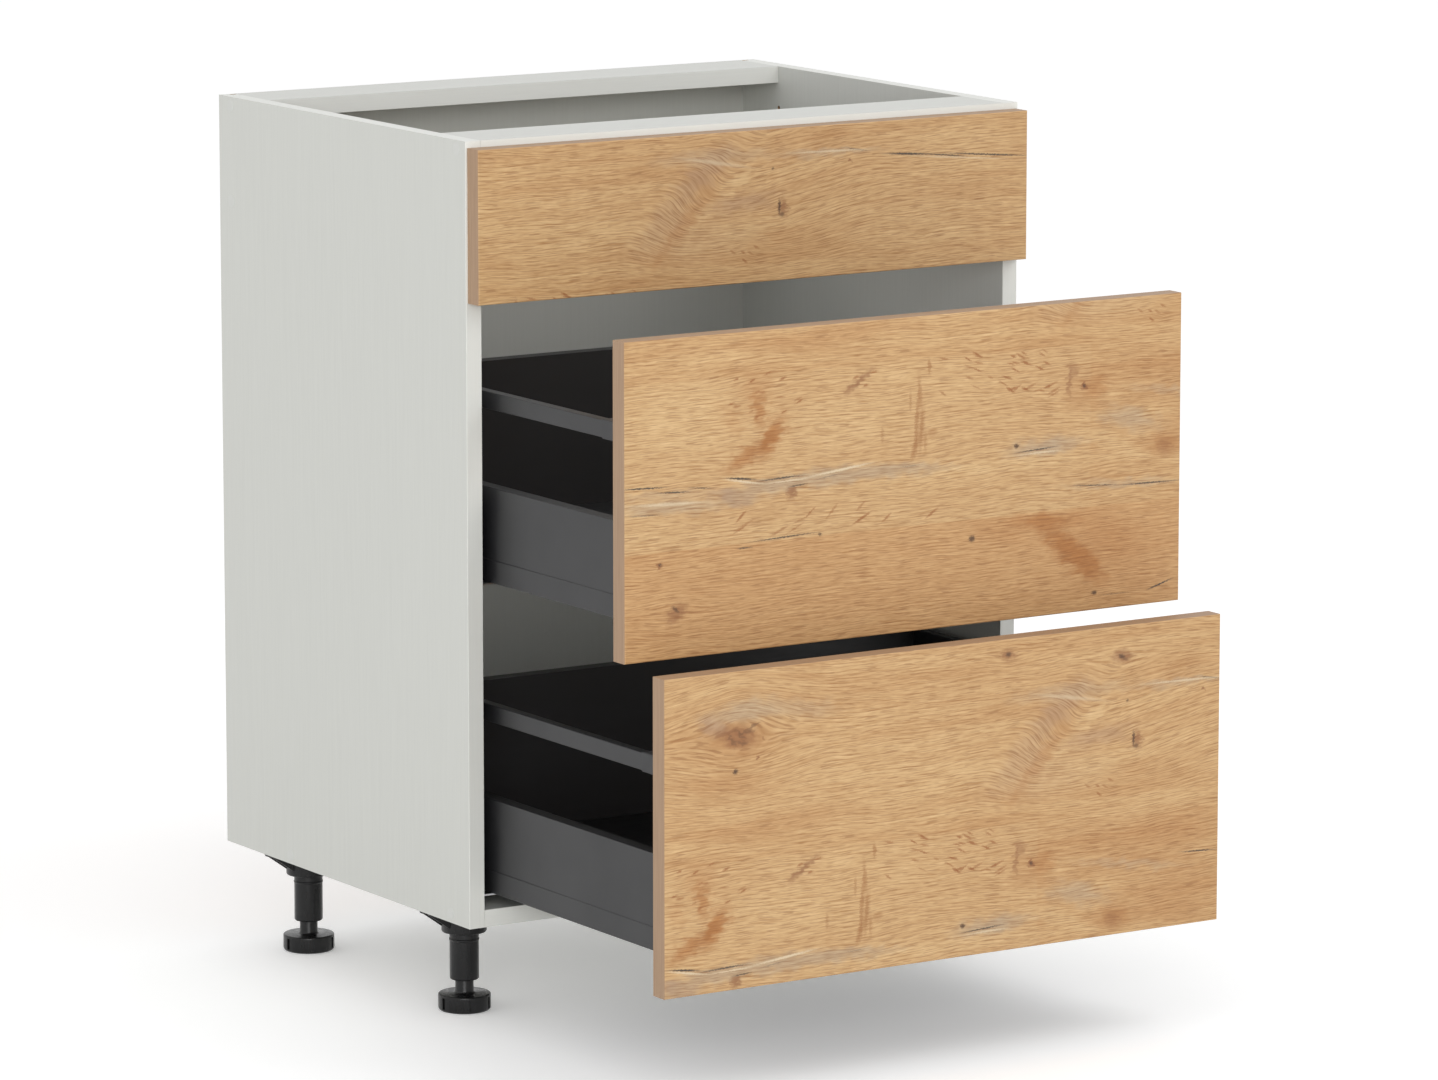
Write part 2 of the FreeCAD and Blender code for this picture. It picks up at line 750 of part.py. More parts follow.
def export_drawer(name, opening):
    height = axis_z * (front_bottoms[name] + side_lift)
    pulled = height - axis_y * opening
    wall = axis_x * -inner_half
    export(name + "_drawer_front", [placed(drawer_front(), pulled)])
    export(name + "_drawer_base", [placed(drawer_base(), pulled)])
    export(name + "_drawer_back", [placed(drawer_back(), pulled)])
    export_pair(name + "_drawer_side", placed(drawer_side(), pulled + wall))
    export_pair(name + "_gallery_rail", placed(gallery_rail(), pulled + wall))
    export_both(name + "_rail_connectors", [placed(rail_connector(), pulled + wall)])
    export_pair(name + "_front_bracket", placed(front_bracket(), pulled + wall))
    export_pair(name + "_rear_bracket", placed(rear_bracket(), pulled + wall))
    export_both(name + "_drawer_screws", [placed(screw, pulled + wall) for screw in drawer_screws()])
    export_pair(name + "_runner_drawer_member", placed(drawer_member(), pulled + wall))
    export_pair(name + "_runner_cabinet_member", placed(cabinet_member(), height + wall))
    half_way = height + wall - axis_y * opening * middle_share
    member = middle_member()
    blocks = [placed(piece, half_way) for piece in slide_blocks(member)]
    export_pair(name + "_runner_middle_member", placed(member, half_way))
    export(name + "_slide_blocks_left", blocks)
    export(name + "_slide_blocks_right", [mirrored(piece) for piece in blocks])


os.makedirs("parts", exist_ok=True)
export_carcass()
export_legs()
export_drawer("lower", lower_opening)
export_drawer("upper", upper_opening)
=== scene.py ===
import json
import math
import random
import bmesh
import bpy
from mathutils import Matrix, Vector

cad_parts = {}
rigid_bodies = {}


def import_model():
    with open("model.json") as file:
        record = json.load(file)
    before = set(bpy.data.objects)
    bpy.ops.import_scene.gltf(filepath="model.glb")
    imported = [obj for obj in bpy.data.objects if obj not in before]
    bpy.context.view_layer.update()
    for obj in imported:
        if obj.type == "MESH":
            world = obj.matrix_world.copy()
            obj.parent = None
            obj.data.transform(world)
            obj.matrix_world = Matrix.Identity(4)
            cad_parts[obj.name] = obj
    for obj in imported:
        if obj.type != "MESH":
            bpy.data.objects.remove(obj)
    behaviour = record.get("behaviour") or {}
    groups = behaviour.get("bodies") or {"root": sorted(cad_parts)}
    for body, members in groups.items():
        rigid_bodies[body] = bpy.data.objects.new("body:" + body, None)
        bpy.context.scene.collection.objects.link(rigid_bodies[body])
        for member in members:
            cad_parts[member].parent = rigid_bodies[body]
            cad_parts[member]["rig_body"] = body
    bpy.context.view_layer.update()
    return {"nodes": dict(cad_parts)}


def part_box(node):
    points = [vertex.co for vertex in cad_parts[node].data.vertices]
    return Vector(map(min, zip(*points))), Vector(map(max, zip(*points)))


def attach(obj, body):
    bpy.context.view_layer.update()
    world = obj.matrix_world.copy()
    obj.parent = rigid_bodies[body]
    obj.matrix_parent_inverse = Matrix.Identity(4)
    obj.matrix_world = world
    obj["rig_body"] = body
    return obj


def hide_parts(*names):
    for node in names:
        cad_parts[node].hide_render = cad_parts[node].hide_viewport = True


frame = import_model()
nodes = frame["nodes"]
scene = bpy.context.scene

# The model is in metres; sizes are written in millimetres and multiplied by this.
mm = 0.001


def linear(hexColour):
    # what a paint program calls #CFD0CB, as Blender's linear colour
    channels = [int(hexColour[place:place + 2], 16) / 255 for place in (0, 2, 4)]
    return [c / 12.92 if c <= 0.04045 else ((c + 0.055) / 1.055) ** 2.4 for c in channels] + [1.0]


def addNode(tree, kind, settings=None, inputs=None):
    # inputs go by socket name or number: a value is set, another node's output is linked, a list of outputs too
    made = tree.nodes.new(kind)
    for name, value in (settings or {}).items():
        setattr(made, name, value)
    for key, value in (inputs or {}).items():
        several = value if isinstance(value, list) and isinstance(value[0], bpy.types.NodeSocket) else [value]
        for single in several:
            if isinstance(single, bpy.types.NodeSocket):
                tree.links.new(single, made.inputs[key])
            else:
                made.inputs[key].default_value = single
    return made


# The camera was fitted to the corners of the carcass and the fronts.
cameraLook = {
    "place": (-3594.2, -5664.1, 1571.6),      # mm
    "turn": -32.462,                          # degrees about z, from looking along +y
    "tilt": -9.720,
    "lens": 183.09,
    "sensor": 36.0,
}


def makeCamera():
    data = bpy.data.cameras.new("camera")
    data.lens = cameraLook["lens"]
    data.sensor_width = cameraLook["sensor"]
    data.clip_end = 100
    camera = bpy.data.objects.new("camera", data)
    camera.location = Vector(cameraLook["place"]) * mm
    camera.rotation_euler = (math.radians(90 + cameraLook["tilt"]), 0, math.radians(cameraLook["turn"]))
    scene.collection.objects.link(camera)
    scene.camera = camera


# The studio is a pale floor and a white surround with soft lamps.
studio = {
    "floorSize": 60.0,                        # m
    "floorColour": "EDEDEB",
    "surroundStrength": 0.78,
    "floorLift": 0.22,                        # added to the floor where it's seen, so that it meets the white
    "lamps": [                                # place (m), size (m), watts
        ((-4.4, -7.2, 2.0), 4.0, 232),        # beside the camera, so that it reaches into the open drawers
        ((1.8, -2.6, 3.6), 2.4, 34),
        ((-4.2, 0.6, 2.2), 3.0, 4),
    ],
}


def seenDirectly(tree):
    # 1 where the eye meets the surface itself, in a mirror or through glass; 0 for the light that it gives off
    path = addNode(tree, "ShaderNodeLightPath")
    either = addNode(tree, "ShaderNodeMath", {"operation": "MAXIMUM"},
                     {0: path.outputs["Is Camera Ray"], 1: path.outputs["Is Glossy Ray"]})
    return addNode(tree, "ShaderNodeMath", {"operation": "MAXIMUM"},
                   {0: either.outputs[0], 1: path.outputs["Is Transmission Ray"]}).outputs[0]


def makeStudio():
    world = bpy.data.worlds.new("surround")
    scene.world = world
    world.use_nodes = True
    tree = world.node_tree
    background = tree.nodes["Background"]
    background.inputs["Color"].default_value = (1, 1, 1, 1)
    strength = addNode(tree, "ShaderNodeMapRange", {},
                       {"Value": seenDirectly(tree), "To Min": studio["surroundStrength"], "To Max": 1.0})
    tree.links.new(strength.outputs[0], background.inputs["Strength"])

    half = studio["floorSize"] / 2
    mesh = bpy.data.meshes.new("floor")
    mesh.from_pydata([(-half, -half, 0), (half, -half, 0), (half, half, 0), (-half, half, 0)], [], [(0, 1, 2, 3)])
    floor = bpy.data.objects.new("floor", mesh)
    scene.collection.objects.link(floor)
    material, tree, shader = newMaterial("paleFloor", {"Roughness": 1.0, "Specular IOR Level": 0.0})
    direct = seenDirectly(tree)
    colour = between(tree, direct, linear(studio["floorColour"]), (1, 1, 1, 1))
    tree.links.new(colour, shader.inputs["Base Color"])
    shader.inputs["Emission Color"].default_value = (1, 1, 1, 1)
    lift = addNode(tree, "ShaderNodeMath", {"operation": "MULTIPLY"}, {0: direct, 1: studio["floorLift"]}).outputs[0]
    tree.links.new(lift, shader.inputs["Emission Strength"])
    mesh.materials.append(material)

    middle = Vector((0, 0, 0.4))
    for number, (place, size, watts) in enumerate(studio["lamps"]):
        data = bpy.data.lights.new("softbox%d" % number, "AREA")
        data.shape = "SQUARE"
        data.size = size
        data.energy = watts
        lamp = bpy.data.objects.new(data.name, data)
        lamp.location = place
        lamp.rotation_euler = (middle - Vector(place)).to_track_quat("-Z", "Y").to_euler()
        scene.collection.objects.link(lamp)
    print("studio ready:", len(studio["lamps"]), "soft lamps")


def newMaterial(name, settings):
    # a Principled material; settings are constants on its own sockets
    material = bpy.data.materials.new(name)
    material.use_nodes = True
    shader = material.node_tree.nodes["Principled BSDF"]
    for socket, value in settings.items():
        shader.inputs[socket].default_value = value
    return material, material.node_tree, shader


def between(tree, factor, first, second):
    return addNode(tree, "ShaderNodeMix", {"data_type": "RGBA"}, {0: factor, 6: first, 7: second}).outputs[2]


def mottle(tree, place, size, stretch=(1, 1, 1), detail=2.0):
    # noise in patches of size mm, drawn out along the axes
    drawn = addNode(tree, "ShaderNodeMapping", {},
                    {"Vector": place, "Scale": [1 / (size * mm * share) for share in stretch]})
    return addNode(tree, "ShaderNodeTexNoise", {},
                   {"Vector": drawn.outputs[0], "Scale": 1.0, "Detail": detail}).outputs["Fac"]


def roughen(tree, shader, height, depth, strength=0.5):
    bump = addNode(tree, "ShaderNodeBump", {}, {"Height": height, "Distance": depth * mm, "Strength": strength})
    tree.links.new(bump.outputs[0], shader.inputs["Normal"])


def times(tree, *masks):
    product = masks[0]
    for mask in masks[1:]:
        product = addNode(tree, "ShaderNodeMath", {"operation": "MULTIPLY"}, {0: product, 1: mask}).outputs[0]
    return product


def assign(material, *names):
    for name in names:
        mesh = nodes[name].data
        mesh.materials.clear()
        mesh.materials.append(material)


# Melamine board: pale grey paper with a faint pressed grain, and chipboard where no band covers the edge.
melamineLook = {
    "tones": ("CBCCC7", "D3D4CF"),
    "bandTones": ("DEDFDA", "E4E5E0"),        # the plastic band is a little smoother, and painted lighter than the face: painted light on the front and top edges
    "grain": {"size": 1.6, "long": 45, "depth": 0.02},
    "pearl": 0.5,                             # mm, grains of the pressed paper
    "core": ("8D6A45", "D6B98C"),
    "flake": 2.4,
    "skin": 0.05,                             # mm of the board's face that belongs to the paper
    "bandDepth": 0.7,
}


def boardMaterial(node):
    look = melamineLook
    low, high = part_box(node)
    upright = high.x - low.x < high.z - low.z
    axis = 0 if upright else 2
    material, tree, shader = newMaterial("melamineBoard_" + node, {"Roughness": 0.48})
    place = addNode(tree, "ShaderNodeTexCoord").outputs["Object"]
    parts = addNode(tree, "ShaderNodeSeparateXYZ", {}, {0: place}).outputs
    inside = addNode(tree, "ShaderNodeMath", {"operation": "COMPARE"},
                     {0: parts[axis], 1: (low[axis] + high[axis]) / 2,
                      2: (high[axis] - low[axis]) / 2 - look["skin"] * mm}).outputs[0]
    behindBand = addNode(tree, "ShaderNodeMath", {"operation": "GREATER_THAN"},
                         {0: parts["Y"], 1: low.y + look["bandDepth"] * mm}).outputs[0]
    belowTop = addNode(tree, "ShaderNodeMath", {"operation": "LESS_THAN"},
                       {0: parts["Z"], 1: high.z - look["skin"] * mm}).outputs[0]
    along = (1, 1, look["grain"]["long"]) if upright else (look["grain"]["long"], 1, 1)
    grain = mottle(tree, place, look["grain"]["size"], along, 3.0)
    face = between(tree, grain, linear(look["tones"][0]), linear(look["tones"][1]))
    # painted light: the band's lighter tones brighten the front and top edges, which catch more light
    band = between(tree, grain, linear(look["bandTones"][0]), linear(look["bandTones"][1]))
    cloud = mottle(tree, place, look["flake"], detail=4.0)
    speck = mottle(tree, place, look["flake"] / 3, (1, 2.5, 1), 2.0)
    mixed = addNode(tree, "ShaderNodeMapRange", {}, {"Value": times(tree, cloud, speck), "From Min": 0.12,
                                                     "From Max": 0.4}).outputs[0]
    core = between(tree, mixed, linear(look["core"][0]), linear(look["core"][1]))
    colour = between(tree, inside, face, band)
    raw = times(tree, inside, behindBand, belowTop) if upright else times(tree, inside, behindBand)
    colour = between(tree, raw, colour, core)
    tree.links.new(colour, shader.inputs["Base Color"])
    rough = addNode(tree, "ShaderNodeMapRange", {}, {"Value": raw, "To Min": 0.48, "To Max": 0.9}).outputs[0]
    tree.links.new(rough, shader.inputs["Roughness"])
    pearl = mottle(tree, place, look["pearl"])
    height = between(tree, raw, grain, times(tree, cloud, pearl))
    roughen(tree, shader, height, look["grain"]["depth"])
    return material


# Hardboard back: lacquered grey towards the room, raw brown fibre towards the wall.
hardboardLook = {
    "front": ("C9CAC5", "CFD0CB"),
    "rear": ("7B5A3C", "9C7650"),
    "fibre": 1.2,
    "dimple": 0.9,
}


def hardboardMaterial(node):
    look = hardboardLook
    low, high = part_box(node)
    material, tree, shader = newMaterial("hardboardLacquered", {"Roughness": 0.5})
    place = addNode(tree, "ShaderNodeTexCoord").outputs["Object"]
    depth = addNode(tree, "ShaderNodeSeparateXYZ", {}, {0: place}).outputs["Y"]
    raw = addNode(tree, "ShaderNodeMath", {"operation": "GREATER_THAN"}, {0: depth, 1: (low.y + high.y) / 2}).outputs[0]
    fibre = mottle(tree, place, look["fibre"], (6, 1, 2), 5.0)
    streak = mottle(tree, place, 1.6, (1, 1, 45), 3.0)
    lacquer = between(tree, streak, linear(look["front"][0]), linear(look["front"][1]))
    bare = between(tree, fibre, linear(look["rear"][0]), linear(look["rear"][1]))
    tree.links.new(between(tree, raw, lacquer, bare), shader.inputs["Base Color"])
    rough = addNode(tree, "ShaderNodeMapRange", {}, {"Value": raw, "To Min": 0.45, "To Max": 0.85}).outputs[0]
    tree.links.new(rough, shader.inputs["Roughness"])
    roughen(tree, shader, between(tree, raw, streak, mottle(tree, place, look["dimple"])), 0.05)
    return material


# Plainer finishes. tones are the darkest and palest colour, patch is how far they wander (mm), relief is
# the size and depth of the surface's own texture (mm), roughness its smoothest and roughest.
finishes = {
    # stoved powder on folded steel: satin, with a fine orange peel
    "powderCoatedSteel": {"tones": ("1C1C1E", "222224"), "patch": 60, "stretch": (1, 1, 1), "relief": (0.9, 0.02),
                          "roughness": (0.38, 0.46), "settings": {}},
    # anthracite melamine on the drawers' boards: matt, with a faint pressed grain along the board
    "anthraciteBoard": {"tones": ("1B1B1C", "252527"), "patch": 1.4, "stretch": (30, 1, 1), "relief": (0.6, 0.02),
                        "roughness": (0.42, 0.55), "settings": {}},
    # injection-moulded brackets: dull, spark-eroded grain
    "mouldedAnthracite": {"tones": ("2A2A2C", "333335"), "patch": 25, "stretch": (1, 1, 1), "relief": (0.4, 0.03),
                          "roughness": (0.45, 0.6), "settings": {}},
    # galvanised runner strip: bright grey metal, clouded, with fine rolling lines along the runner
    "galvanisedSteel": {"tones": ("A6A9AC", "C9CCCE"), "patch": 7, "stretch": (1, 6, 1), "relief": (0.5, 0.01),
                        "roughness": (0.26, 0.42), "settings": {"Metallic": 1.0}},
    # zinc-plated screws: bluish bright metal
    "zincPlate": {"tones": ("B4BAC0", "D0D5DA"), "patch": 1.5, "stretch": (1, 1, 1), "relief": (0.3, 0.01),
                  "roughness": (0.22, 0.34), "settings": {"Metallic": 1.0}},
    # natural nylon blocks: milky, slightly translucent
    "naturalNylon": {"tones": ("DCDCD2", "E8E8E0"), "patch": 8, "stretch": (1, 1, 1), "relief": (0.5, 0.02),
                     "roughness": (0.35, 0.5), "settings": {"Subsurface Weight": 0.15, "Subsurface Scale": 0.002}},
    # turned beech dowels: pale, with short dark rays along them
    "beechWood": {"tones": ("B98D5E", "DAB68A"), "patch": 0.8, "stretch": (14, 1, 1), "relief": (0.5, 0.05),
                  "roughness": (0.55, 0.7), "settings": {}},
    # pressed plastic screw caps: a touch lighter and glossier than the board
    "capPlastic": {"tones": ("CBCCC8", "D3D4D0"), "patch": 5, "stretch": (1, 1, 1), "relief": (0.4, 0.01),
                   "roughness": (0.3, 0.4), "settings": {}},
    # black polypropylene legs: glossy moulded skin with slight flow marks down the tube
    "legPolypropylene": {"tones": ("0E0E0F", "171718"), "patch": 6, "stretch": (1, 1, 8), "relief": (0.7, 0.03),
                         "roughness": (0.22, 0.36), "settings": {"Specular IOR Level": 0.35}},
}


def finish(name):
    look = finishes[name]
    material, tree, shader = newMaterial(name, look["settings"])
    place = addNode(tree, "ShaderNodeTexCoord").outputs["Object"]
    broad = mottle(tree, place, look["patch"], look["stretch"], 3.0)
    size, depth = look["relief"]
    fine = mottle(tree, place, size)
    tree.links.new(between(tree, broad, linear(look["tones"][0]), linear(look["tones"][1])),
                   shader.inputs["Base Color"])
    smoothest, roughest = look["roughness"]
    rough = addNode(tree, "ShaderNodeMapRange", {},
                    {"Value": broad, "From Min": 0.3, "From Max": 0.7, "To Min": smoothest, "To Max": roughest})
    tree.links.new(rough.outputs[0], shader.inputs["Roughness"])
    roughen(tree, shader, fine, depth)
    return material


# Oak décor: printed paper with a matt, slightly embossed finish. All three fronts are cut from one
# sheet, so each front gets its own group that draws the same sheet in millimetres (u to the right, v
# down), with only the marks that reach that front, and each front says where its own top left corner lies on it.
oakSheetLook = {
    "streakTones": ("C09466", "DDBC90"),
    "grainDark": (0.80, 0.72, 0.63, 1),       # what the darkest and the palest grain do to the tone
    "grainPale": (1.20, 1.27, 1.35, 1),
    "level": (0.84, 0.80, 0.71, 1),           # what the whole print is multiplied by
    "poreTone": "8C5C34",                     # short dark dashes of open pores
    "poreShare": 0.42,
    "lineSpacing": 3.6,                       # mm between growth lines
    "waveHeight": 12.0,                       # mm, how far the lines wander
    # the growth lines part round a knot: middle, reach and share of the spreading
    "knots": [((77, 58), (80, 52), 0.88), ((487, 30), (34, 16), 0.5), ((362, 14), (26, 12), 0.5),
              ((-48, 372), (40, 20), 0.5), ((502, 106), (26, 18), 0.5), ((314, 258), (30, 12), 0.3)],
    # and drop by this much where they cross a slanted feather of figured grain
    "feather": {"middle": (392, 96), "turn": -44, "width": 25.0, "drop": 26.0, "fadeMiddle": (450, 104),
                "fadeReach": (125, 62)},
}

# printed planks with sharp seams: middle, half sizes, tone and share of it
oakPlanks = [
    ((146, 243), (251, 75), "D6B489", 0.48),
    ((150, 372), (400, 54), "CCA173", 0.70),
]

# soft stains: tone, how far noise tears their outline (mm), and (middle, half sizes, turn, share)
oakStains = [
    {"tone": "B07844", "tear": 9, "at": [
        ((38, 200), (17, 9), 80, 0.75), ((52, 226), (24, 10), -58, 1.0), ((26, 240), (26, 8), -28, 0.8),
        ((36, 180), (20, 14), 0, 0.35), ((10, 208), (18, 9), 60, 0.3),
        ((372, 356), (46, 13), 38, 0.95), ((390, 368), (30, 12), 40, 0.8), ((345, 327), (44, 8), 3, 0.8),
        ((300, 335), (40, 12), 20, 0.25), ((410, 345), (45, 26), 20, 0.35),
        ((478, 267), (21, 13), 0, 0.5), ((401, 208), (13, 11), 0, 0.55), ((384, 214), (26, 16), 10, 0.3),
        ((78, 60), (36, 19), 0, 0.42), ((500, 198), (110, 26), 0, 0.3), ((545, 190), (60, 16), 0, 0.3),
        ((545, 250), (75, 30), 0, 0.28), ((440, 372), (70, 44), 0, 0.2),
        ((62, 98), (50, 10), 4, 0.25), ((120, 140), (120, 10), -2, 0.25), ((392, 120), (48, 9), -46, 0.5)]},
    {"tone": "AF8F78", "tear": 12, "at": [
        ((48, 46), (16, 10), 10, 0.7), ((390, 96), (62, 15), -44, 0.38), ((425, 64), (38, 15), -30, 0.35),
        ((462, 98), (42, 10), -6, 0.45), ((400, 128), (70, 22), 0, 0.2), ((8, 275), (22, 8), 16, 0.9)]},
    {"tone": "BFA78D", "tear": 12, "at": [
        ((84, 36), (42, 11), -4, 0.8), ((140, 40), (44, 9), 4, 0.45), ((60, 268), (66, 7), -3, 0.95),
        ((128, 266), (50, 9), 0, 0.9), ((185, 266), (44, 7), 2, 0.85), ((225, 268), (30, 5), 2, 0.6),
        ((345, 259), (42, 9), -2, 1.0), ((20, 278), (40, 6), -8, 0.5), ((-52, 279), (60, 7), 2, 0.8),
        ((-60, 268), (50, 4), 2, 0.5), ((430, 55), (66, 8), 0, 0.5), ((555, 58), (60, 4), 0, 0.6),
        ((440, 241), (36, 11), 12, 0.75), ((500, 220), (60, 5), 8, 0.5), ((430, 300), (60, 5), 2, 0.6)]},
    {"tone": "E0C196", "tear": 12, "at": [
        ((250, 110), (160, 40), 0, 0.30), ((-50, 200), (70, 40), 0, 0.45), ((130, 215), (70, 26), 0, 0.30),
        ((455, 78), (22, 9), -40, 0.6), ((410, 116), (30, 7), -44, 0.35), ((450, 128), (40, 12), 0, 0.45),
        ((290, 272), (90, 7), 0, 0.5), ((420, 262), (40, 8), 20, 0.5), ((640, 120), (160, 26), 0, 0.2),
        ((700, 60), (90, 14), 0, 0.25)]},
]

# marks in front of the grain: knots' cores, cracks, flecks; the same terms
oakMarks = [
    {"tone": "8A5636", "tear": 5, "at": [
        ((76, 58), (21, 11), 12, 0.6), ((70, 62), (11, 7), 40, 0.25), ((362, 14), (9, 5), 0, 0.7),
        ((487, 28), (12, 7), 10, 0.65), ((504, 106), (5.5, 10), 0, 0.6), ((-47, 374), (12, 8), -40, 0.6),
        ((388, 207), (3.4, 4), 0, 0.85), ((-64, 330), (4, 3.4), 0, 0.7), ((73, 277), (6, 6), 0, 0.7),
        ((143, 184), (20, 3.8), -34, 0.65), ((371, 202), (3.4, 15), 0, 0.5), ((376, 192), (7, 8), 0, 0.4),
        ((478, 270), (10, 8), 20, 0.35), ((97, 79), (2.6, 2.4), 0, 0.8), ((577, 67), (2.4, 1.8), 0, 0.7),
        ((104, 62), (3, 2), 0, 0.5)]},
    {"tone": "98602F", "tear": 2, "at": [
        ((206, 224), (2.4, 27), 3, 0.5), ((211, 232), (2.8, 22), 5, 0.55), ((215, 243), (2.2, 11), 0, 0.4),
        ((204, 248), (3.2, 13), 16, 0.5), ((209, 199), (2.6, 17), -4, 0.45), ((219, 176), (2, 8), 0, 0.5),
        ((223, 236), (6, 5), 0, 0.3), ((199, 206), (1.4, 10), 0, 0.4), ((169, 234), (2, 8), 0, 0.35)]},
    {"tone": "6A4A33", "tear": 5, "at": [
        ((70, 61), (8, 2.0), 60, 0.5), ((78, 56), (9, 1.5), 35, 0.5), ((86, 54), (9, 1.8), -14, 0.5),
        ((93, 50), (6, 1.6), -20, 0.6), ((80, 64), (8, 2), 10, 0.5), ((488, 29), (7, 1.6), 30, 0.5)]},
    {"tone": "5B4231", "tear": 1.5, "at": [
        ((362, 14), (3.2, 2.4), 0, 0.8), ((486, 28), (4, 2.4), 20, 0.7), ((500, 105), (1.6, 8), 0, 0.9),
        ((503, 112), (2.6, 2.6), 0, 0.6), ((73, 89), (2.8, 2.6), 0, 0.95), ((314, 256), (2.8, 2.4), 0, 0.95),
        ((266, 336), (3.8, 3.4), 0, 0.9), ((401, 398), (3.4, 2.2), 0, 0.9), ((388, 207), (1.8, 2), 0, 0.8),
        ((-48, 370), (1.8, 5), -50, 0.7), ((-64, 329), (1.8, 1.6), 0, 0.8), ((493, 69), (1.8, 1.4), 0, 0.8),
        ((103, 317), (2, 1.8), 0, 0.9)]},
    {"tone": "4E453F", "tear": 1.5, "at": [
        ((642, 65), (28, 1.1), 4, 1.0), ((682, 68.5), (26, 0.8), 6, 0.9), ((730, 71), (48, 0.9), 5, 0.95),
        ((-80, 260), (24, 0.8), 2, 1.0), ((-50, 266), (18, 0.8), 3, 0.9), ((-22, 264.5), (14, 0.7), 6, 0.7),
        ((20, 260), (18, 1.0), 7, 1.0), ((62, 263), (26, 0.8), -2, 0.9), ((80, 271), (11, 0.8), -4, 0.8),
        ((112, 266), (16, 0.6), -8, 0.4), ((66, 316), (36, 0.8), -2, 0.9), ((24, 322), (8, 0.8), 0, 0.9),
        ((335, 261), (24, 0.7), -3, 0.9), ((400, 299), (26, 0.7), 4, 0.8), ((462, 302), (34, 0.8), 1, 0.9),
        ((574, 217), (22, 0.8), 3, 0.9), ((474, 397), (15, 0.9), -16, 1.0), ((584, 57), (14, 0.7), 10, 0.6),
        ((-80, 284), (20, 0.7), 2, 0.5), ((424, 401), (20, 0.5), 0, 0.5), ((200, 264), (12, 0.5), -3, 0.4)]},
    {"tone": "E8D8C0", "tear": 1.5, "at": [
        ((125, 261), (36, 1.2), -6, 0.9), ((24, 263), (22, 1.0), 10, 0.8), ((72, 266), (22, 0.9), -2, 0.7),
        ((555, 57), (45, 1.0), 1, 0.6), ((-55, 276), (40, 1.6), 2, 0.6), ((700, 72), (60, 0.8), 5, 0.5),
        ((340, 264), (26, 1.0), -2, 0.6), ((430, 60), (40, 2.0), 10, 0.35)]},
]

# short slanted strokes of ray figure, scattered in a box: its middle and half sizes, the strokes'
# number, turn and half length
oakFlecks = [
    {"middle": (296, 188), "half": (64, 20), "count": 28, "turn": 22, "long": 5.5, "seed": 3},
    {"middle": (122, 302), "half": (104, 9), "count": 12, "turn": -34, "long": 11, "seed": 5},
    {"middle": (80, 188), "half": (80, 20), "count": 18, "turn": -12, "long": 4.5, "seed": 8},
    {"middle": (462, 146), "half": (16, 7), "count": 5, "turn": 40, "long": 4, "seed": 9},
    {"middle": (330, 208), "half": (30, 6), "count": 8, "turn": -24, "long": 7, "seed": 4},
]


def spotMask(tree, place, middle, half, turn, soft, share=1.0):
    # share in the middle of a slanted ellipse and 0 outside it
    ball = addNode(tree, "ShaderNodeTexGradient", {"gradient_type": "SPHERICAL"}, {"Vector": place})
    ball.texture_mapping.vector_type = "TEXTURE"
    ball.texture_mapping.translation = (*middle, 0)
    ball.texture_mapping.rotation = (0, 0, math.radians(turn))
    ball.texture_mapping.scale = (half[0] * (1 + soft / 2), half[1] * (1 + soft / 2), 1)
    return addNode(tree, "ShaderNodeMapRange", {"interpolation_type": "SMOOTHSTEP", "clamp": False},
                   {"Value": ball.outputs["Fac"], "From Min": 0.0, "From Max": 1.5 * soft / (1 + soft / 2),
                    "To Min": 0.0, "To Max": share}).outputs[0]


def grainNoise(tree, place, long, wide, seed, detail=2.0):
    # noise drawn out along the grain; long and wide are its patches' size in millimetres
    drawn = addNode(tree, "ShaderNodeMapping", {},
                    {"Vector": place, "Location": (seed * 7.31, seed * 3.17, 0), "Scale": (1 / long, 1 / wide, 1)})
    return addNode(tree, "ShaderNodeTexNoise", {"noise_dimensions": "2D"},
                   {"Vector": drawn.outputs[0], "Scale": 1.0, "Detail": detail}).outputs["Fac"]


def sumOf(tree, first, *terms):
    # first + factor · (value - 0.5) for each (value, factor)
    total = first
    for value, factor in terms:
        centred = addNode(tree, "ShaderNodeMath", {"operation": "MULTIPLY_ADD"},
                          {0: value, 1: factor, 2: -factor / 2}).outputs[0]
        total = addNode(tree, "ShaderNodeMath", {"operation": "ADD"}, {0: total, 1: centred}).outputs[0]
    return total


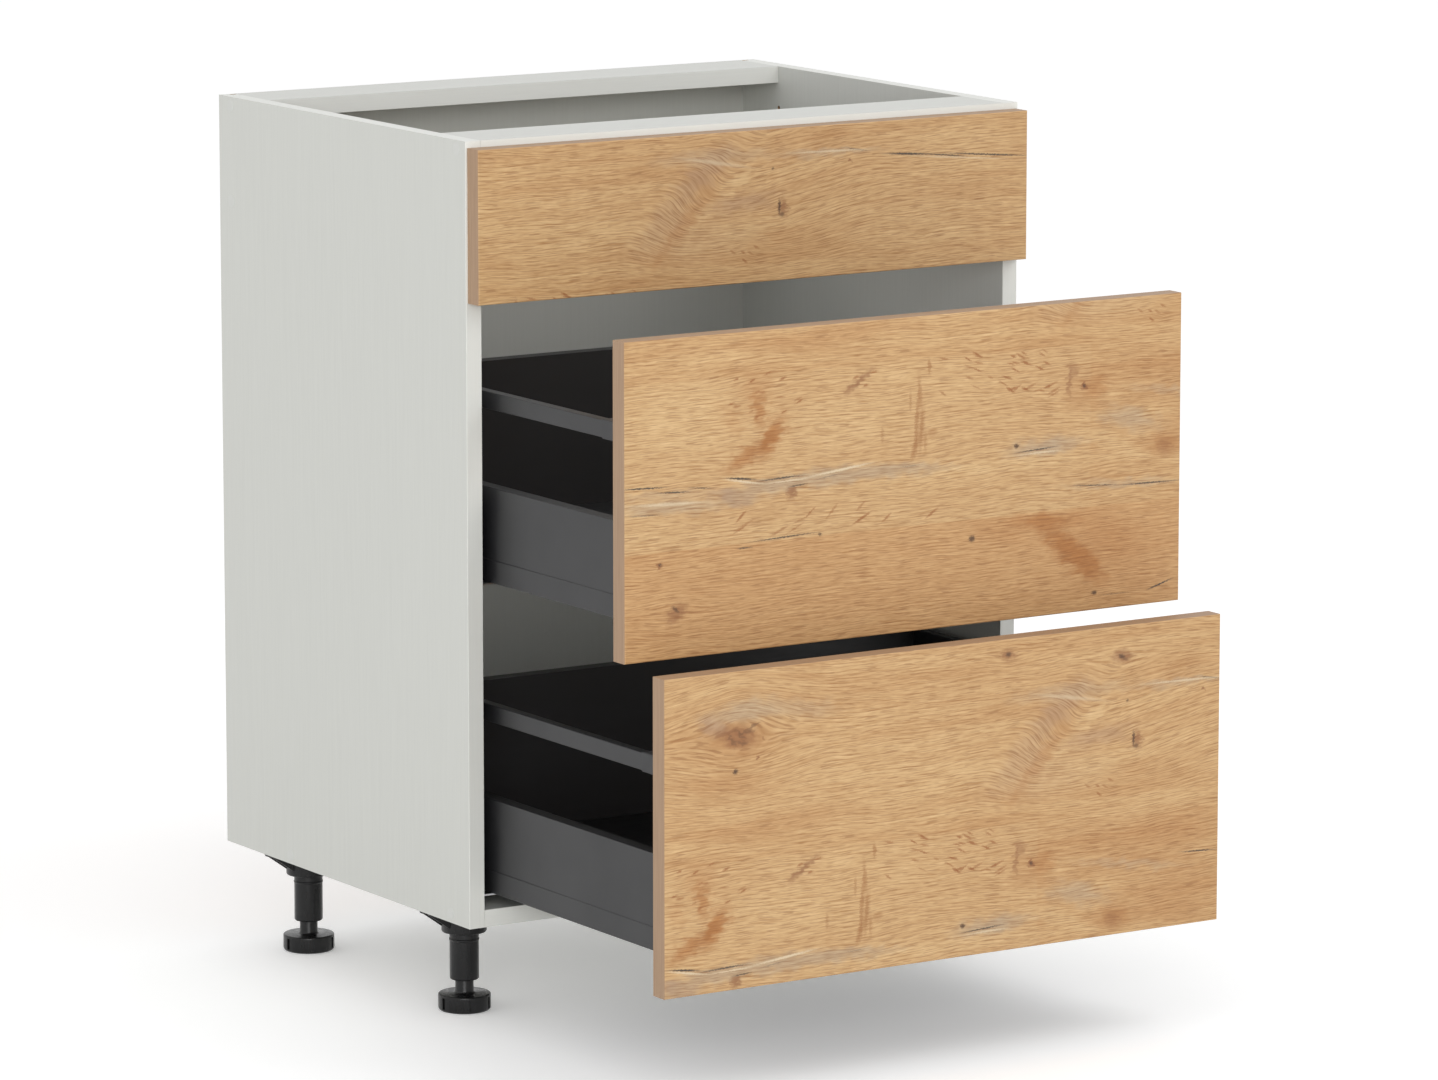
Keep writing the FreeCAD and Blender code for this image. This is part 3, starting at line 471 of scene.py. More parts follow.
def bentGrain(tree, place):
    # where a point of the sheet lies along and across its growth line
    look = oakSheetLook
    parts = addNode(tree, "ShaderNodeSeparateXYZ", {}, {0: place})
    across = sumOf(tree, parts.outputs["Y"],
                   (grainNoise(tree, place, 210, 80, 1), look["waveHeight"]),
                   (grainNoise(tree, place, 80, 30, 2), look["waveHeight"] / 4))
    for middle, reach, share in look["knots"]:
        inside = addNode(tree, "ShaderNodeMapping", {"vector_type": "TEXTURE"},
                         {"Vector": place, "Location": (*middle, 0), "Scale": (*reach, 1)}).outputs[0]
        square = addNode(tree, "ShaderNodeVectorMath", {"operation": "DOT_PRODUCT"}, {0: inside, 1: inside})
        fall = addNode(tree, "ShaderNodeMath", {"operation": "POWER"}, {0: 0.2, 1: square.outputs["Value"]}).outputs[0]
        height = addNode(tree, "ShaderNodeSeparateXYZ", {}, {0: inside}).outputs["Y"]
        pull = addNode(tree, "ShaderNodeMath", {"operation": "MULTIPLY"}, {0: fall, 1: height}).outputs[0]
        across = addNode(tree, "ShaderNodeMath", {"operation": "MULTIPLY_ADD"},
                         {0: pull, 1: -share * reach[1], 2: across}).outputs[0]
    feather = look["feather"]
    side = addNode(tree, "ShaderNodeMapping", {"vector_type": "TEXTURE"},
                   {"Vector": place, "Location": (*feather["middle"], 0),
                    "Rotation": (0, 0, math.radians(feather["turn"])), "Scale": (1, feather["width"], 1)})
    step = addNode(tree, "ShaderNodeMapRange", {"interpolation_type": "SMOOTHSTEP", "clamp": False},
                   {"Value": addNode(tree, "ShaderNodeSeparateXYZ", {}, {0: side.outputs[0]}).outputs["Y"],
                    "From Min": -1.0, "From Max": 1.0, "To Min": 0.0, "To Max": -feather["drop"]}).outputs[0]
    fade = spotMask(tree, place, feather["fadeMiddle"], feather["fadeReach"], 0, 0.9)
    across = addNode(tree, "ShaderNodeMath", {"operation": "MULTIPLY_ADD"}, {0: step, 1: fade, 2: across}).outputs[0]
    return addNode(tree, "ShaderNodeCombineXYZ", {}, {"X": parts.outputs["X"], "Y": across}).outputs[0]


def tornPlaces(tree, place, sizes):
    # the sheet's coordinates shaken by noise, for torn outlines: one for each size in millimetres
    parts = addNode(tree, "ShaderNodeSeparateXYZ", {}, {0: place})
    torn = {}
    for size in sizes:
        aside = grainNoise(tree, place, size * 1.4, size * 0.7, size, 4.0)
        down = grainNoise(tree, place, size * 1.4, size * 0.7, size + 40, 4.0)
        torn[size] = addNode(tree, "ShaderNodeCombineXYZ", {},
                             {"X": sumOf(tree, parts.outputs["X"], (aside, size * 3.0)),
                              "Y": sumOf(tree, parts.outputs["Y"], (down, size * 1.2))}).outputs[0]
    return torn


def laidOver(tree, under, tone, mask):
    return addNode(tree, "ShaderNodeMix", {"data_type": "RGBA"}, {0: mask, 6: under, 7: linear(tone)}).outputs[2]


def boxMask(tree, place, middle, half, share):
    # share inside an upright box with sharp edges, as printed planks have
    inside = addNode(tree, "ShaderNodeMapping", {"vector_type": "TEXTURE"},
                     {"Vector": place, "Location": (*middle, 0), "Scale": (*half, 1)})
    folded = addNode(tree, "ShaderNodeVectorMath", {"operation": "ABSOLUTE"}, {0: inside.outputs[0]})
    parts = addNode(tree, "ShaderNodeSeparateXYZ", {}, {0: folded.outputs[0]})
    furthest = addNode(tree, "ShaderNodeMath", {"operation": "MAXIMUM"}, {0: parts.outputs["X"], 1: parts.outputs["Y"]})
    return addNode(tree, "ShaderNodeMapRange", {"interpolation_type": "SMOOTHSTEP", "clamp": False},
                   {"Value": furthest.outputs[0], "From Min": 0.985, "From Max": 1.0, "To Min": share,
                    "To Max": 0.0}).outputs[0]


def scattered(flecks):
    # random strokes of one group, in the terms of a mark; the seed keeps them where they are
    shake = random.Random(flecks["seed"])
    (u, v), (halfU, halfV) = flecks["middle"], flecks["half"]
    return [((u + shake.uniform(-halfU, halfU), v + shake.uniform(-halfV, halfV)),
             (flecks["long"] * shake.uniform(0.6, 1.2), shake.uniform(0.9, 1.4)),
             flecks["turn"] + shake.uniform(-14, 14), shake.uniform(0.4, 0.8)) for _ in range(flecks["count"])]


def onCut(cut, middle, half, turn):
    # whether an ellipse reaches into the part of the sheet that a front shows
    slant = math.radians(turn)
    reach = (math.hypot(half[0] * math.cos(slant), half[1] * math.sin(slant)) * 1.4,
             math.hypot(half[0] * math.sin(slant), half[1] * math.cos(slant)) * 1.4)
    return all(cut["corner"][side] - reach[side] < middle[side] < cut["corner"][side] + cut["size"][side] + reach[side]
               for side in (0, 1))


def layMarks(tree, colour, torn, layers, soft, cut):
    for layer in layers:
        for middle, half, turn, share in layer["at"]:
            if onCut(cut, middle, half, turn):
                mask = spotMask(tree, torn[layer["tear"]], middle, half, turn, soft, share)
                colour = laidOver(tree, colour, layer["tone"], mask)
    return colour


def oakSheet(cut):
    tree = bpy.data.node_groups.new("oakSheet_" + cut["name"], "ShaderNodeTree")
    tree.interface.new_socket("Place", in_out="INPUT", socket_type="NodeSocketVector")
    tree.interface.new_socket("Colour", in_out="OUTPUT", socket_type="NodeSocketColor")
    tree.interface.new_socket("Height", in_out="OUTPUT", socket_type="NodeSocketFloat")
    place = addNode(tree, "NodeGroupInput").outputs["Place"]
    look = oakSheetLook
    marks = oakMarks + [{"tone": "985C2E", "tear": 1.5, "at": scattered(flecks)} for flecks in oakFlecks]
    grain = bentGrain(tree, place)
    torn = tornPlaces(tree, place, sorted({layer["tear"] for layer in oakStains + marks}))

    broad = grainNoise(tree, grain, 160, 14, 4, 3.0)
    tone = addNode(tree, "ShaderNodeMix", {"data_type": "RGBA"},
                   {0: broad, 6: linear(look["streakTones"][0]), 7: linear(look["streakTones"][1])}).outputs[2]
    for middle, half, plankTone, share in oakPlanks:
        tone = laidOver(tree, tone, plankTone, boxMask(tree, place, middle, half, share))
    tone = layMarks(tree, tone, torn, oakStains, 0.8, cut)

    # growth lines: a sine across the grain, shaken and fading in and out, with pores as fine streaks
    across = addNode(tree, "ShaderNodeSeparateXYZ", {}, {0: grain}).outputs["Y"]
    shaken = sumOf(tree, across, (grainNoise(tree, grain, 70, 12, 5), look["lineSpacing"] * 1.6))
    wave = addNode(tree, "ShaderNodeMath", {"operation": "SINE"},
                   {0: addNode(tree, "ShaderNodeMath", {"operation": "MULTIPLY"},
                               {0: shaken, 1: 2 * math.pi / look["lineSpacing"]}).outputs[0]}).outputs[0]
    strength = addNode(tree, "ShaderNodeMapRange", {"clamp": False, "interpolation_type": "SMOOTHSTEP"},
                       {"Value": grainNoise(tree, grain, 40, 9, 6), "From Min": 0.35, "From Max": 0.7,
                        "To Min": 0.03, "To Max": 0.38}).outputs[0]
    thin = addNode(tree, "ShaderNodeMapRange", {"interpolation_type": "SMOOTHSTEP"},
                   {"Value": wave, "From Min": 0.1, "From Max": 0.95, "To Min": 0.3, "To Max": -1.0}).outputs[0]
    lines = addNode(tree, "ShaderNodeMath", {"operation": "MULTIPLY"}, {0: thin, 1: strength}).outputs[0]
    signal = sumOf(tree, 0.5, (grainNoise(tree, grain, 34, 1.4, 7, 2.0), 1.15),
                   (grainNoise(tree, grain, 10, 1.0, 8, 1.0), 0.75))
    signal = addNode(tree, "ShaderNodeMath", {"operation": "ADD"}, {0: signal, 1: lines}).outputs[0]
    tint = addNode(tree, "ShaderNodeMix", {"data_type": "RGBA", "clamp_factor": False},
                   {0: signal, 6: look["grainDark"], 7: look["grainPale"]}).outputs[2]
    colour = addNode(tree, "ShaderNodeMix", {"data_type": "RGBA", "blend_type": "MULTIPLY"},
                     {0: 1.0, 6: tone, 7: tint}).outputs[2]
    pores = addNode(tree, "ShaderNodeMapRange", {"interpolation_type": "SMOOTHSTEP"},
                    {"Value": grainNoise(tree, grain, 22, 1.0, 9, 1.0), "From Min": 0.57, "From Max": 0.67,
                     "To Min": 0.0, "To Max": look["poreShare"]}).outputs[0]
    colour = laidOver(tree, colour, look["poreTone"], pores)
    colour = layMarks(tree, colour, torn, marks, 0.7, cut)
    colour = addNode(tree, "ShaderNodeMix", {"data_type": "RGBA", "blend_type": "MULTIPLY"},
                     {0: 1.0, 6: colour, 7: look["level"]}).outputs[2]
    addNode(tree, "NodeGroupOutput", {}, {"Colour": colour, "Height": signal})
    return tree


# where each front's top left corner lies on the sheet (mm), and the band round its edges
oakFronts = {
    "corners": {"lower_drawer_front": (0, 0), "upper_drawer_front": (-100.2, 130), "blind_front": (180, 32.8)},
    "bandTones": ("94755A", "B5977A"),
    "bandGrain": {"long": 40, "fine": 0.9},
    "bandFrom": (0.3, 0.9),                   # mm behind the face, over the rounding
    "relief": 0.06,
}


def oakMaterial(node):
    look = oakFronts
    low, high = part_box(node)
    corner = look["corners"][node]
    cut = {"name": node, "corner": corner, "size": ((high.x - low.x) / mm, (high.z - low.z) / mm)}
    material, tree, shader = newMaterial("oakDecor_" + node, {"Roughness": 0.55})
    place = addNode(tree, "ShaderNodeTexCoord").outputs["Object"]
    parts = addNode(tree, "ShaderNodeSeparateXYZ", {}, {0: place}).outputs
    right = addNode(tree, "ShaderNodeMath", {"operation": "MULTIPLY_ADD"},
                    {0: parts["X"], 1: 1 / mm, 2: corner[0] - low.x / mm}).outputs[0]
    down = addNode(tree, "ShaderNodeMath", {"operation": "MULTIPLY_ADD"},
                   {0: parts["Z"], 1: -1 / mm, 2: corner[1] + high.z / mm}).outputs[0]
    onSheet = addNode(tree, "ShaderNodeCombineXYZ", {}, {"X": right, "Y": down}).outputs[0]
    sheet = addNode(tree, "ShaderNodeGroup", {"node_tree": oakSheet(cut)}, {"Place": onSheet}).outputs
    grain = look["bandGrain"]
    streak = mottle(tree, place, grain["fine"], (grain["long"] / grain["fine"], 1, grain["long"] / grain["fine"]), 3.0)
    band = between(tree, streak, linear(look["bandTones"][0]), linear(look["bandTones"][1]))
    rounding = addNode(tree, "ShaderNodeMapRange", {},
                       {"Value": parts["Y"], "From Min": low.y + look["bandFrom"][0] * mm,
                        "From Max": low.y + look["bandFrom"][1] * mm}).outputs[0]
    beforeBack = addNode(tree, "ShaderNodeMath", {"operation": "LESS_THAN"},
                         {0: parts["Y"], 1: high.y - melamineLook["skin"] * mm}).outputs[0]
    onEdge = times(tree, rounding, beforeBack)
    tree.links.new(between(tree, onEdge, sheet["Colour"], band), shader.inputs["Base Color"])
    roughen(tree, shader, sheet["Height"], look["relief"])
    return material


def separateSolids(node):
    # the corners of each separate solid in a CAD node, from a merged copy of its mesh
    work = bmesh.new()
    work.from_mesh(nodes[node].data)
    bmesh.ops.remove_doubles(work, verts=work.verts, dist=0.001 * mm)
    seen = set()
    solids = []
    for start in work.verts:
        if start in seen:
            continue
        seen.add(start)
        waiting = [start]
        corners = []
        while waiting:
            vert = waiting.pop()
            corners.append(vert.co.copy())
            for edge in vert.link_edges:
                other = edge.other_vert(vert)
                if other not in seen:
                    seen.add(other)
                    waiting.append(other)
        solids.append(corners)
    work.free()
    return solids


def turnedPlace(corners, pick):
    # where a turned solid starts and which way it points: from its wider end to its narrower one
    low = Vector([min(corner[axis] for corner in corners) for axis in range(3)])
    high = Vector([max(corner[axis] for corner in corners) for axis in range(3)])
    axis = pick(range(3), key=lambda index: high[index] - low[index])
    ends = []
    for level in (low[axis], high[axis]):
        ring = [corner for corner in corners if abs(corner[axis] - level) < 0.01 * mm]
        middle = sum(ring, Vector()) / len(ring)
        ends.append((max((corner - middle).length for corner in ring), middle))
    ends.sort(key=lambda end: -end[0])
    return ends[0][1], (ends[1][1] - ends[0][1]).normalized()


def newTree(name, inputs):
    tree = bpy.data.node_groups.new(name, "GeometryNodeTree")
    tree.interface.new_socket("Places", in_out="INPUT", socket_type="NodeSocketGeometry")
    for label, kind in inputs:
        tree.interface.new_socket(label, in_out="INPUT", socket_type="NodeSocket" + kind)
    tree.interface.new_socket("Geometry", in_out="OUTPUT", socket_type="NodeSocketGeometry")
    return tree, addNode(tree, "NodeGroupInput").outputs


def formula(tree, operation, *values):
    return addNode(tree, "ShaderNodeMath", {"operation": operation}, dict(enumerate(values))).outputs[0]


def raised(tree, shape, height):
    lift = addNode(tree, "ShaderNodeCombineXYZ", {}, {"Z": height}).outputs[0]
    return addNode(tree, "GeometryNodeTransform", {}, {"Geometry": shape, "Translation": lift}).outputs[0]


def setOnPlaces(tree, given, shape):
    # a copy at each place, turned to its direction; the export needs real geometry
    aim = addNode(tree, "GeometryNodeInputNamedAttribute", {"data_type": "FLOAT_VECTOR"}, {"Name": "driven"})
    turn = addNode(tree, "FunctionNodeAlignRotationToVector", {"axis": "Z"}, {"Vector": aim.outputs[0]})
    copies = addNode(tree, "GeometryNodeInstanceOnPoints", {},
                     {"Points": given["Places"], "Instance": shape, "Rotation": turn.outputs[0]})
    real = addNode(tree, "GeometryNodeRealizeInstances", {}, {"Geometry": copies.outputs[0]})
    painted = addNode(tree, "GeometryNodeSetMaterial", {},
                      {"Geometry": real.outputs[0], "Material": given["Material"]})
    addNode(tree, "NodeGroupOutput", {}, {"Geometry": painted.outputs[0]})


def grown(name, tree, places, values, body, node):
    # runs the tree on the places and keeps the result as a plain mesh that stands for the CAD node
    mesh = bpy.data.meshes.new(name + "Places")
    mesh.from_pydata([place for place, direction in places], [], [])
    driven = mesh.attributes.new("driven", "FLOAT_VECTOR", "POINT")
    for index, (place, direction) in enumerate(places):
        driven.data[index].vector = direction
    source = bpy.data.objects.new(name + "Places", mesh)
    modifier = source.modifiers.new("grown", "NODES")
    modifier.node_group = tree
    for item in tree.interface.items_tree:
        if item.in_out == "INPUT" and item.name in values:
            modifier[item.identifier] = values[item.name]
    scene.collection.objects.link(source)
    evaluated = source.evaluated_get(bpy.context.evaluated_depsgraph_get())
    plain = bpy.data.meshes.new_from_object(evaluated)
    source.modifiers.remove(modifier)
    bpy.data.objects.remove(source)
    plain.name = name
    plain.materials.clear()
    plain.materials.append(values["Material"])
    plain.shade_smooth()
    plain.set_sharp_from_angle(angle=math.radians(35))
    piece = bpy.data.objects.new(name, plain)
    scene.collection.objects.link(piece)
    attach(piece, body)
    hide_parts(node)
    print(name + ":", len(places), "pieces,", len(plain.polygons), "faces")


# Screws: head, cross recess or hexagon socket, shank, thread and point. Lengths are millimetres.
woodScrew = {"Head Radius": 3.5, "Head Height": 2.0, "Outer Share": 0.5, "Inner Share": 1.0, "Shoulder": 0.4,
             "Core Radius": 1.15, "Length": 13.0, "Point": 3.0, "Pitch": 1.6, "Ridge": 0.42}
connectorScrew = {"Head Radius": 4.8, "Head Height": 3.0, "Outer Share": 1.0, "Inner Share": 0.62, "Shoulder": 1.0,
                  "Core Radius": 2.5, "Length": 47.0, "Point": 3.0, "Pitch": 3.0, "Ridge": 0.65}
screwRecess = {"arm": (4.0, 0.9, 1.1), "hexagonRadius": 2.3, "hexagonDepth": 2.2}
screwInputs = [(label, "Float") for label in woodScrew] + [("Material", "Material")]


def screwTree(name, crossed):
    tree, given = newTree(name, screwInputs)
    head = addNode(tree, "GeometryNodeMeshCylinder", {},
                   {"Vertices": 24, "Side Segments": 4, "Fill Segments": 3, "Radius": given["Head Radius"],
                    "Depth": given["Head Height"]}).outputs[0]
    head = raised(tree, head, formula(tree, "MULTIPLY", given["Head Height"], 0.5))
    # the head's width follows its height: from the outer share at its face to the inner one at the board
    spot = addNode(tree, "GeometryNodeInputPosition").outputs[0]
    parts = addNode(tree, "ShaderNodeSeparateXYZ", {}, {0: spot}).outputs
    level = formula(tree, "DIVIDE", formula(tree, "MAXIMUM", parts["Z"], 0.0), given["Head Height"])
    level = formula(tree, "POWER", level, given["Shoulder"])
    grow = formula(tree, "SUBTRACT", given["Inner Share"], given["Outer Share"])
    share = formula(tree, "MULTIPLY_ADD", level, grow, given["Outer Share"])
    shaped = addNode(tree, "ShaderNodeCombineXYZ", {},
                     {"X": formula(tree, "MULTIPLY", parts["X"], share),
                      "Y": formula(tree, "MULTIPLY", parts["Y"], share), "Z": parts["Z"]}).outputs[0]
    head = addNode(tree, "GeometryNodeSetPosition", {}, {"Geometry": head, "Position": shaped}).outputs[0]
    if crossed:
        long, wide, deep = [side * mm for side in screwRecess["arm"]]
        arms = [addNode(tree, "GeometryNodeMeshCube", {}, {"Size": size}).outputs[0]
                for size in ((long, wide, 2 * deep), (wide, long, 2 * deep))]
        tool = addNode(tree, "GeometryNodeJoinGeometry", {}, {0: arms}).outputs[0]
    else:
        tool = addNode(tree, "GeometryNodeMeshCylinder", {},
                       {"Vertices": 6, "Radius": screwRecess["hexagonRadius"] * mm,
                        "Depth": 2 * screwRecess["hexagonDepth"] * mm}).outputs[0]
    head = addNode(tree, "GeometryNodeMeshBoolean", {"operation": "DIFFERENCE", "solver": "EXACT"},
                   {"Mesh 1": head, "Mesh 2": tool}).outputs[0]

    straight = formula(tree, "SUBTRACT", given["Length"], given["Point"])
    shank = addNode(tree, "GeometryNodeMeshCylinder", {},
                    {"Vertices": 12, "Radius": given["Core Radius"], "Depth": straight}).outputs[0]
    middle = formula(tree, "MULTIPLY_ADD", straight, 0.5, given["Head Height"])
    point = addNode(tree, "GeometryNodeMeshCone", {},
                    {"Vertices": 12, "Radius Top": 0.0, "Radius Bottom": given["Core Radius"],
                     "Depth": given["Point"]}).outputs[0]
    turns = formula(tree, "DIVIDE", straight, given["Pitch"])
    line = addNode(tree, "GeometryNodeCurveSpiral", {},
                   {"Resolution": 10, "Rotations": turns, "Start Radius": given["Core Radius"],
                    "End Radius": given["Core Radius"], "Height": straight}).outputs[0]
    ridge = addNode(tree, "GeometryNodeCurvePrimitiveCircle", {},
                    {"Resolution": 3, "Radius": given["Ridge"]}).outputs[0]
    thread = addNode(tree, "GeometryNodeCurveToMesh", {},
                     {"Curve": line, "Profile Curve": ridge, "Fill Caps": True}).outputs[0]
    whole = addNode(tree, "GeometryNodeJoinGeometry", {},
                    {0: [head, raised(tree, shank, middle), raised(tree, thread, given["Head Height"]),
                         raised(tree, point, formula(tree, "ADD", straight, given["Head Height"]))]}).outputs[0]
    setOnPlaces(tree, given, whole)
    return tree


def screwPlaces(node):
    return [turnedPlace(corners, max) for corners in separateSolids(node)]


def inMetres(sizes, material):
    # shares and counts stay as they are; lengths become metres
    plain = ("Outer Share", "Inner Share", "Shoulder")
    values = {label: size if label in plain else size * mm for label, size in sizes.items()}
    values["Material"] = material
    return values


def makeScrews(material):
    crossed = screwTree("crossRecessScrew", True)
    values = inMetres(woodScrew, material)
    grown("carcassScrews", crossed, screwPlaces("carcass_wood_screws"), values, "cabinet", "carcass_wood_screws")
    for drawer in ("lower_drawer", "upper_drawer"):
        node = drawer + "_screws"
        grown(drawer + "Screws", crossed, screwPlaces(node), values, drawer, node)
    grown("connectorScrews", screwTree("hexagonSocketScrew", False), screwPlaces("confirmat_screws"),
          inMetres(connectorScrew, material), "cabinet", "confirmat_screws")


# Screw caps: thin domes pressed into the screws' heads.
coverCap = {"Radius": 6.0, "Height": 0.5, "Rim Share": 0.3}


def makeCaps(material):
    tree, given = newTree("domedCap", [(label, "Float") for label in coverCap] + [("Material", "Material")])
    disc = addNode(tree, "GeometryNodeMeshCylinder", {},
                   {"Vertices": 32, "Fill Segments": 6, "Radius": given["Radius"], "Depth": given["Height"]}).outputs[0]
    disc = raised(tree, disc, formula(tree, "MULTIPLY", given["Height"], 0.5))
    spot = addNode(tree, "GeometryNodeInputPosition").outputs[0]
    parts = addNode(tree, "ShaderNodeSeparateXYZ", {}, {0: spot}).outputs
    squares = formula(tree, "ADD", formula(tree, "MULTIPLY", parts["X"], parts["X"]),
                      formula(tree, "MULTIPLY", parts["Y"], parts["Y"]))
    fromMiddle = formula(tree, "DIVIDE", squares, formula(tree, "MULTIPLY", given["Radius"], given["Radius"]))
    curve = formula(tree, "SQRT", formula(tree, "MAXIMUM", formula(tree, "SUBTRACT", 1.0, fromMiddle), 0.0))
    crown = formula(tree, "SUBTRACT", 1.0, given["Rim Share"])
    share = formula(tree, "MULTIPLY_ADD", curve, crown, given["Rim Share"])
    domed = addNode(tree, "ShaderNodeCombineXYZ", {},
                    {"X": parts["X"], "Y": parts["Y"], "Z": formula(tree, "MULTIPLY", parts["Z"], share)}).outputs[0]
    disc = addNode(tree, "GeometryNodeSetPosition", {}, {"Geometry": disc, "Position": domed}).outputs[0]
    setOnPlaces(tree, given, disc)
    values = {"Radius": coverCap["Radius"] * mm, "Height": coverCap["Height"] * mm,
              "Rim Share": coverCap["Rim Share"], "Material": material}
    places = [turnedPlace(corners, min) for corners in separateSolids("screw_cover_caps")]
    grown("coverCaps", tree, places, values, "cabinet", "screw_cover_caps")


# Legs: a socket screwed under the carcass, and a foot whose spindle turns in it. Heights are from the
# carcass's underside, in millimetres.
legLook = {
    "underside": 100.0,
    "sides": 64,
    "tube": {"radius": 13.65, "end": 71.0, "round": 1.6, "flats": 12, "flatDepth": 0.12},
    "bead": {"at": 33.0, "height": 1.2, "out": 0.45},
    "collar": {"radius": 21.5, "end": 26.0, "round": 1.5, "draft": 0.5},
    "arm": {"reach": 46.0, "width": 20.0, "thickness": 4.0},
    "rib": {"apart": 14.0, "width": 2.0, "depth": 20.0, "reach": 43.0},
    "bore": 8.8,
    "boreTop": 14.0,
    "spindle": {"radius": 8.5, "top": 34.0, "flare": 2.5},
    "disc": {"radius": 24.5, "height": 16.0, "rim": 1.5, "foot": 3.0},
    "notch": {"count": 6, "width": 3.7, "depth": 1.6, "turn": 7.6, "margin": 2.5},
}


def quarterRound(middle, radius, start, steps=4):
    # points of a quarter circle in (radius, height), from the start angle on, clockwise
    angles = [math.radians(start - 90 * step / steps) for step in range(steps + 1)]
    return [(middle[0] + radius * math.cos(angle), middle[1] + radius * math.sin(angle)) for angle in angles]


def addTurned(work, profile, middle, ripple=None):
    # a turned form about a vertical axis; the profile runs from top to bottom outside, as (radius, height)
    sides = legLook["sides"]
    rings = []
    for radius, height in profile:
        ring = []
        for side in range(sides):
            angle = 2 * math.pi * side / sides
            reach = radius * (ripple(angle, height) if ripple else 1)
            ring.append(work.verts.new((middle.x + reach * math.cos(angle) * mm,
                                        middle.y + reach * math.sin(angle) * mm, middle.z + height * mm)))
        rings.append(ring)
    for upper, lower in zip(rings, rings[1:]):
        for side in range(sides):
            work.faces.new((upper[side - 1], lower[side - 1], lower[side], upper[side]))
    return rings


def addPrism(work, outline, low, high, middle):
    # an upright slab with the outline's corners, in mm about the middle
    bottom, top = [[work.verts.new((middle.x + x * mm, middle.y + y * mm, middle.z + level * mm)) for x, y in outline]
                   for level in (low, high)]
    work.faces.new(bottom[::-1])
    work.faces.new(top)
    for index in range(len(outline)):
        work.faces.new((bottom[index - 1], bottom[index], top[index], top[index - 1]))


def armOutline():
    # the flange's cross: four arms with round ends, drawn once round
    arm = legLook["arm"]
    half = arm["width"] / 2
    points = []
    for quarter in range(4):
        turn = Matrix.Rotation(math.radians(90 * quarter), 2)
        tip = [(arm["reach"] - half + half * math.cos(math.radians(angle)), half * math.sin(math.radians(angle)))
               for angle in range(-90, 91, 15)]
        points += [turn @ Vector(corner) for corner in tip + [(half, half)]]
    return [tuple(point) for point in points]


def addRib(work, turn, middle):
    # two upright webs under an arm, one each side of its screw, sloping from the collar to the arm's end
    rib = legLook["rib"]
    side = [(legLook["tube"]["radius"] - 2, -1), (rib["reach"], -1), (rib["reach"], -legLook["arm"]["thickness"]),
            (legLook["collar"]["radius"] - 1, -rib["depth"]), (legLook["tube"]["radius"] - 2, -rib["depth"])]
    spin = Matrix.Rotation(math.radians(turn), 3, "Z")
    for inner in (-rib["apart"] / 2 - rib["width"] / 2, rib["apart"] / 2 - rib["width"] / 2):
        faces = [[work.verts.new(middle + (spin @ Vector((out, across, height))) * mm) for out, height in side]
                 for across in (inner, inner + rib["width"])]
        work.faces.new(faces[0])
        work.faces.new(faces[1][::-1])
        for index in range(len(side)):
            work.faces.new((faces[0][index], faces[0][index - 1], faces[1][index - 1], faces[1][index]))


def finishedPiece(name, work, material, body, node, bevel):
    bmesh.ops.remove_doubles(work, verts=work.verts, dist=0.001 * mm)
    bmesh.ops.recalc_face_normals(work, faces=work.faces)
    mesh = bpy.data.meshes.new(name)
    work.to_mesh(mesh)
    work.free()
    mesh.materials.append(material)
    piece = bpy.data.objects.new(name, mesh)
    scene.collection.objects.link(piece)
    if bevel:
        rounding = piece.modifiers.new("edges", "BEVEL")
        rounding.width = bevel * mm
        rounding.segments = 2
        rounding.limit_method = "ANGLE"
        rounding.angle_limit = math.radians(50)
        plain = bpy.data.meshes.new_from_object(piece.evaluated_get(bpy.context.evaluated_depsgraph_get()))
        piece.modifiers.remove(rounding)
        piece.data = plain
    piece.data.shade_smooth()
    piece.data.set_sharp_from_angle(angle=math.radians(32))
    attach(piece, body)
    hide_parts(node)
    return piece


def legMiddle(node):
    low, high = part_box(node)
    return Vector(((low.x + high.x) / 2, (low.y + high.y) / 2, legLook["underside"] * mm))


